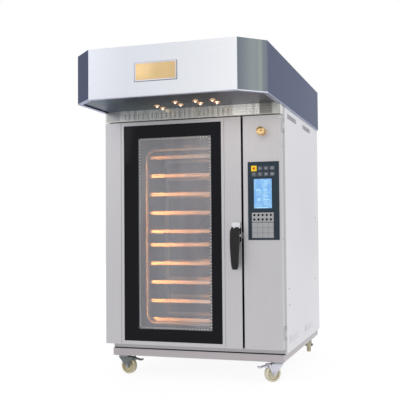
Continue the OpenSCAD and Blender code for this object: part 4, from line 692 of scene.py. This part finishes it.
# %% [markdown]
# ## The strip that keeps the panes apart
# Between the two panes runs a dark folded strip with a row of small vents, every 19 mm,
# that let the drying grains inside breathe. The chamber's light on each vent's rim is a
# painted glint, so the strip shows along the window's edge as a dotted line. The strip
# is four eased bars, and each vent is a small pale dish that glows with that painted glint.
# %% Spacer strip in the window
STRIP_W, STRIP_DEPTH, HOLE_PITCH, HOLE_R = 0.0130, 0.012, 0.019, 0.0042
FIT = 0.0002
strip_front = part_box("outer_glass")[1][1] + 0.0008
shape = bmesh.new()
left, low = window_lo[0], window_lo[2]
right, high = window_hi[0], window_hi[2]
for x0, x1, z0, z1 in ((left, left + STRIP_W, low, high), (right - STRIP_W, right, low, high),
                       (left, right, low, low + STRIP_W), (left, right, high - STRIP_W, high)):
    eased_block(shape, (x0 + FIT, strip_front, z0 + FIT),
                (x1 - FIT, strip_front + STRIP_DEPTH, z1 - FIT), 0.0006)
make_piece("pane_spacer", shape, "oven_door", spacer_strip)
shape = bmesh.new()
holes = []
for k in range(1, int((high - low) / HOLE_PITCH)):
    z = low + k * HOLE_PITCH
    holes += [(left + STRIP_W / 2, z), (right - STRIP_W / 2, z)]
for k in range(1, int((right - left) / HOLE_PITCH)):
    x = left + k * HOLE_PITCH
    holes += [(x, low + STRIP_W / 2), (x, high - STRIP_W / 2)]
for x, z in holes:
    turned(shape, [(HOLE_R, 0), (HOLE_R, 0.0002), (HOLE_R * 0.5, 0.0003)],
           (x, strip_front + 0.0001, z), (0, -1, 0), 10)
make_piece("pane_spacer_vents", shape, "oven_door", vent_glint)
print("vents in the strip:", len(holes))

# %% [markdown]
# ## Lamp rings, nuts and screws
# Each spot lamp is a small bulb in a dished ring. Pale baffles show behind the band's
# slots, and two bright dome nuts hold it. Small screws hold the side panels and the
# control door's side flange.
# %% Fasteners and rings
SPOTS, SPOT_PAIR = ((-0.157, -0.544), (-0.012, -0.631), (0.111, -0.635), (0.212, -0.633)), 0.092
spot_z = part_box("hood_lamps")[0][2] + 0.0005
ring_shape, bulb_shape = bmesh.new(), bmesh.new()
for x, y in SPOTS:
    for step in (0.0, SPOT_PAIR):
        at = (x, y + step, spot_z)
        washer(ring_shape, at, (0, 0, -1), 0.0070, 0.0190, 0.0030, 28)
        turned(bulb_shape, [(0.0068, 0), (0.0066, 0.0040), (0.0052, 0.0080), (0.0026, 0.0100)],
               at, (0, 0, -1), 20)
make_piece("spot_lamp_rings", ring_shape, "cabinet", spot_ring_painted_glow)
make_piece("spot_lamp_bulbs", bulb_shape, "cabinet", spot_lens)

BAFFLES, BAFFLE_X, BAFFLE_PITCH, BAFFLE_W = 58, -0.436, 0.0131, 0.0122
BAFFLE_Z, BAFFLE_IN = (1.5735, 1.6205), (0.0022, 0.0040)
band_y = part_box("fascia_band")[0][1]
shape = bmesh.new()
for k in range(BAFFLES):
    x = BAFFLE_X + k * BAFFLE_PITCH
    eased_block(shape, (x, band_y + BAFFLE_IN[0], BAFFLE_Z[0]),
                (x + BAFFLE_W, band_y + BAFFLE_IN[1], BAFFLE_Z[1]), 0.0004, 1)
make_piece("band_slot_baffles", shape, "cabinet", baffle_grey)
NUTS = ((0.374, 1.5850), (0.416, 1.5830))
shape = bmesh.new()
for x, z in NUTS:
    turned(shape, [(0.0075, 0), (0.0075, 0.0010), (0.0055, 0.0014), (0.0052, 0.0030),
                   (0.0035, 0.0046), (0.0012, 0.0052)], (x, band_y + 0.0002, z), (0, -1, 0), 20)
make_piece("band_dome_nuts", shape, "cabinet", pale_zinc)

PANEL_X = 0.554
SIDE_SCREWS = ((-0.211, 0.539), (-0.201, 0.442), (0.753, 0.974), (0.773, 0.952), (0.739, 0.543))
DOOR_SCREW_Y, DOOR_SCREW_Z = -0.368, (1.377, 0.839)
shape = bmesh.new()
for side in (-1, 1):
    for y, z in SIDE_SCREWS:
        screw_head(shape, (side * (PANEL_X - 0.0002), y, z), (side, 0, 0), 0.0050, 0.0016)
make_piece("side_panel_screws", shape, "cabinet", cast_grey)
shape = bmesh.new()
for z in DOOR_SCREW_Z:
    screw_head(shape, (PANEL_X - 0.0002, DOOR_SCREW_Y, z), (1, 0, 0), 0.0045, 0.0014)
make_piece("control_door_side_screws", shape, "side_door", cast_grey)
print("side screws:", 2 * len(SIDE_SCREWS))

# %% [markdown]
# ## Caster details
# A washer and a nut close each axle, a square washer on the pale fork at the front
# right. A thin darker ring lies on both sides of every wheel, where the tread meets its
# web. The places follow from each wheel's own box and from the way its fork is turned.
# %% Washers, nuts and wheel rings
FORK_TURN = {"fl": -8, "fr": 223, "rl": 65, "rr": 100}
LEG_FACE, RING_FACE = 0.021, 0.0138
NUT_PROFILE = ((0.0100, 0.0010), (0.0100, 0.0066), (0.0088, 0.0078), (0.0050, 0.0080),
               (0.0045, 0.0110))
for corner, degrees in FORK_TURN.items():
    lo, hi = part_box("wheel_" + corner)
    middle = (Vector(lo) + Vector(hi)) / 2
    turn = math.radians(degrees)
    axle = Vector((-math.sin(turn), math.cos(turn), 0))
    nuts, rings = bmesh.new(), bmesh.new()
    for side in (-1, 1):
        out = axle * side
        leg = middle + out * LEG_FACE
        washer(nuts, leg, out, 0.004, 0.0125, 0.0012, 4 if corner == "fr" else 24)
        turned(nuts, NUT_PROFILE, leg, out, 6)
        washer(rings, middle + out * RING_FACE, out, 0.0345, 0.0385, 0.0016, 48)
    material = pale_zinc if corner == "fr" else turned_steel
    make_piece("axle_nuts_" + corner, nuts, "swivel_" + corner, material)
    make_piece("wheel_rings_" + corner, rings, "roller_" + corner, tan_nylon)
print("wheels dressed:", len(FORK_TURN))

# %% [markdown]
# ## The fan's guard
# A welded wire guard covers the fan's inlet in the back of the chamber, so that no
# hand or tray corner meets the blades: rings of 4 mm wire on four spokes. Each ring is
# a torus made by turning a small circle, and each spoke is a slim eased bar.
# %% Wire guard over the fan's inlet
GUARD_RINGS, WIRE_R = (0.030, 0.055, 0.080, 0.105, 0.130, 0.152), 0.0022
SPOKE_IN, SPOKE_LENGTH, GUARD_STAND = 0.028, 0.128, 0.006
fan_lo, fan_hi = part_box("fan_wheel")
fan_x, fan_z = (fan_lo[0] + fan_hi[0]) / 2, (fan_lo[2] + fan_hi[2]) / 2
guard_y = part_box("back_baffle")[0][1] - GUARD_STAND
shape = bmesh.new()
for ring in GUARD_RINGS:
    circle = [(ring + WIRE_R * math.cos(a), WIRE_R * math.sin(a))
              for a in (k * math.pi / 3 for k in range(6))]
    turned(shape, circle, (fan_x, guard_y, fan_z), (0, -1, 0), 40, bored=True)
for k in range(4):
    angle = math.radians(45 + 90 * k)
    way = Vector((math.cos(angle), 0, math.sin(angle)))
    across = Vector((-math.sin(angle), 0, math.cos(angle)))
    start = Vector((fan_x, guard_y + WIRE_R, fan_z)) + way * SPOKE_IN
    bar = [start + across * (WIRE_R * s) + Vector((0, WIRE_R * t, 0))
           for s, t in ((-1, 0), (-0.5, 1), (0.5, 1), (1, 0), (0.5, -1), (-0.5, -1))]
    near_end = [shape.verts.new(p) for p in bar]
    far_end = [shape.verts.new(p + way * SPOKE_LENGTH) for p in bar]
    for i in range(6):
        shape.faces.new((near_end[i], near_end[(i + 1) % 6], far_end[(i + 1) % 6], far_end[i]))
    shape.faces.new(near_end)
    shape.faces.new(far_end)
make_piece("fan_inlet_guard", shape, "cabinet", chamber_steel)
print("guard rings:", len(GUARD_RINGS))

# %% [markdown]
# ## Seals in the seams
# A black strip lies in the seam between the oven and its base: it is painted shade, and it
# shows as the thin dark line under the doors. A second one lines the oven door's closing
# edge, above and below the latch bolt, and paints the shaded gap between the two doors black.
# %% Strips of painted shade in the seams
EDGE_Y, EDGE_IN, EDGE_OUT, EDGE_SHORT, BOLT_ROOM = (-0.4085, -0.3500), 0.0004, 0.0009, 0.002, 0.006
SEAM_X, SEAM_Y, SEAM_UP = (-0.5285, 0.5535), (-0.3415, -0.3396), (0.0008, 0.0052)
door_lo, door_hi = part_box("door_frame")
bolt_lo, bolt_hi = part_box("latch_bolt")
# A black strip paints the shade in the gap between the two doors
shape = bmesh.new()
for z0, z1 in ((door_lo[2] + EDGE_SHORT, bolt_lo[2] - BOLT_ROOM),
               (bolt_hi[2] + BOLT_ROOM, door_hi[2] - EDGE_SHORT)):
    eased_block(shape, (door_hi[0] - EDGE_IN, EDGE_Y[0], z0),
                (door_hi[0] + EDGE_OUT, EDGE_Y[1], z1), 0.0003)
make_piece("door_gap_painted_shade", shape, "oven_door", silicone)
# A black strip paints the shade in the seam above the base
base_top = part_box("base_frame")[1][2]
shape = bmesh.new()
eased_block(shape, (SEAM_X[0], SEAM_Y[0], base_top + SEAM_UP[0]),
            (SEAM_X[1], SEAM_Y[1], base_top + SEAM_UP[1]), 0.0005)
make_piece("base_seam_painted_shade", shape, "cabinet", silicone)
print("seam at, mm:", round(1000 * base_top))

# %% [markdown]
# ## Floor and backdrop
# A cut-out product picture has a white ground. The floor and the world show white to
# the camera and to mirrors. The floor keeps a little of its matte self near the oven,
# so that the wheels cast a faint shadow and don't float.
# %% White ground
SHADOW_SHARE, SHADOW_REACH, FLOOR_HALF = 0.12, 1.4, 14.0
floor_mat = bpy.data.materials.new("pale_studio_floor")
floor_mat.use_nodes = True
tree = floor_mat.node_tree
tree.nodes.clear()
path = add(tree, "LightPath")
matte = add(tree, "BsdfDiffuse", inputs={"Color": (0.9, 0.9, 0.9, 1)})
white = add(tree, "Emission", inputs={"Color": (1, 1, 1, 1), "Strength": 1.04})
seen = add(tree, "Math", {"operation": "MAXIMUM"}, {
    0: path.outputs["Is Camera Ray"], 1: path.outputs["Is Glossy Ray"]}).outputs[0]
where = add(tree, "TexCoord").outputs["Object"]
away = add(tree, "VectorMath", {"operation": "LENGTH"}, {0: where})
plain_share = add(tree, "MapRange", inputs={
    "Value": away.outputs["Value"], "From Min": SHADOW_REACH * 0.7, "From Max": SHADOW_REACH,
    "To Min": 1.0 - SHADOW_SHARE, "To Max": 1.0}).outputs[0]
share = add(tree, "Math", {"operation": "MULTIPLY"}, {0: seen, 1: plain_share}).outputs[0]
blend = add(tree, "MixShader", inputs={0: share, 1: matte.outputs[0], 2: white.outputs[0]})
add(tree, "OutputMaterial", inputs={"Surface": blend.outputs[0]})
shape = bmesh.new()
bmesh.ops.create_grid(shape, x_segments=8, y_segments=8, size=FLOOR_HALF)
ground_mesh = bpy.data.meshes.new("floor")
shape.to_mesh(ground_mesh)
shape.free()
ground_mesh.materials.append(floor_mat)
ground = bpy.data.objects.new("floor", ground_mesh)
ground.location.z = -0.0005
bpy.context.scene.collection.objects.link(ground)

world = bpy.data.worlds.new("studio")
bpy.context.scene.world = world
world.use_nodes = True
tree = world.node_tree
tree.nodes.clear()
path = add(tree, "LightPath").outputs
seen = add(tree, "Math", {"operation": "MAXIMUM"}, {
    0: path["Is Camera Ray"], 1: path["Is Transmission Ray"]}).outputs[0]
seen = add(tree, "Math", {"operation": "MAXIMUM"}, {0: seen, 1: path["Is Glossy Ray"]}).outputs[0]
soft = add(tree, "Background", inputs={"Color": (0.96, 0.97, 1.0, 1), "Strength": 0.85})
plain = add(tree, "Background", inputs={"Color": (1, 1, 1, 1), "Strength": 1.0})
mix = add(tree, "MixShader", inputs={0: seen, 1: soft.outputs[0], 2: plain.outputs[0]})
add(tree, "OutputWorld", inputs={"Surface": mix.outputs[0]})
print("floor shows:", round(1.0 - SHADOW_SHARE, 2), "white, the rest takes the shadow")

# %% [markdown]
# ## Lamps
# Three large soft lamps light the oven evenly, so that a colour looks about as it is
# written. A faint one under the hood stands for its spots. Inside the chamber, one warm
# upright strip shines from the frosted covers and makes the rack's near ends glow, and
# two weak bluish lamps, one low and one high, lift the dark corners.
# %% Studio lamps and the chamber's lamps
SOFTBOX_SIZE, SOFTBOX_WATTS = 3.0, 28
FILL_SIZE, FILL_COLOUR = 0.3, "#E4ECFF"


def soft_lamp(name, at, target, size, watts, colour="#FFFFFF", tall=None, spread=180):
    """An area lamp that faces a point; tall makes it a strip, spread narrows its beam."""
    lamp = bpy.data.lights.new(name, "AREA")
    lamp.size = size
    if tall:
        lamp.shape = "RECTANGLE"
        lamp.size_y = tall
    lamp.energy = watts
    lamp.spread = math.radians(spread)
    lamp.color = linear(colour)[:3]
    made = bpy.data.objects.new(name, lamp)
    made.location = at
    made.rotation_euler = (Vector(target) - Vector(at)).to_track_quat("-Z", "Y").to_euler()
    bpy.context.scene.collection.objects.link(made)
    return made


for name, at, target in (("front_softbox", (-3.4, -4.2, 3.2), (0, -0.4, 1.1)),
                         ("side_softbox", (4.6, -1.2, 2.6), (0.3, 0.2, 0.9)),
                         ("back_softbox", (-1.5, 5.0, 3.2), (0, 0.3, 1.0))):
    soft_lamp(name, at, target, SOFTBOX_SIZE, SOFTBOX_WATTS)
under_hood = soft_lamp("hood_spots_light", (0.34, -0.60, 1.622), (0.34, -0.42, 0.9),
                       size=0.45, watts=2.6, colour="#FFF4E8")
cover_lo, cover_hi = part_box("oven_lamps")
lamp_at = (cover_hi[0] + 0.004, (cover_lo[1] + cover_hi[1]) / 2, window_mid[2] - 0.05)
warm = soft_lamp("oven_lamp_light", lamp_at, (-0.10, -0.10, lamp_at[2]), size=0.03, watts=8.0,
                 colour="#FFAC60", tall=2 * window_half[2] - 0.10, spread=90)
low_fill = soft_lamp("chamber_low_fill", (0.05, -0.22, 0.30), (-0.118, 0.45, 1.0),
                     FILL_SIZE, watts=1.0, colour=FILL_COLOUR)
top_fill = soft_lamp("chamber_top_fill", (0.05, -0.22, 1.45), (-0.118, 0.45, 0.8),
                     FILL_SIZE, watts=0.6, colour=FILL_COLOUR)
for lamp in (under_hood, low_fill, top_fill):
    lamp.visible_glossy = False
for lamp in (under_hood, warm, low_fill, top_fill):
    lamp.visible_camera = False
bpy.context.scene.view_settings.view_transform = "Standard"
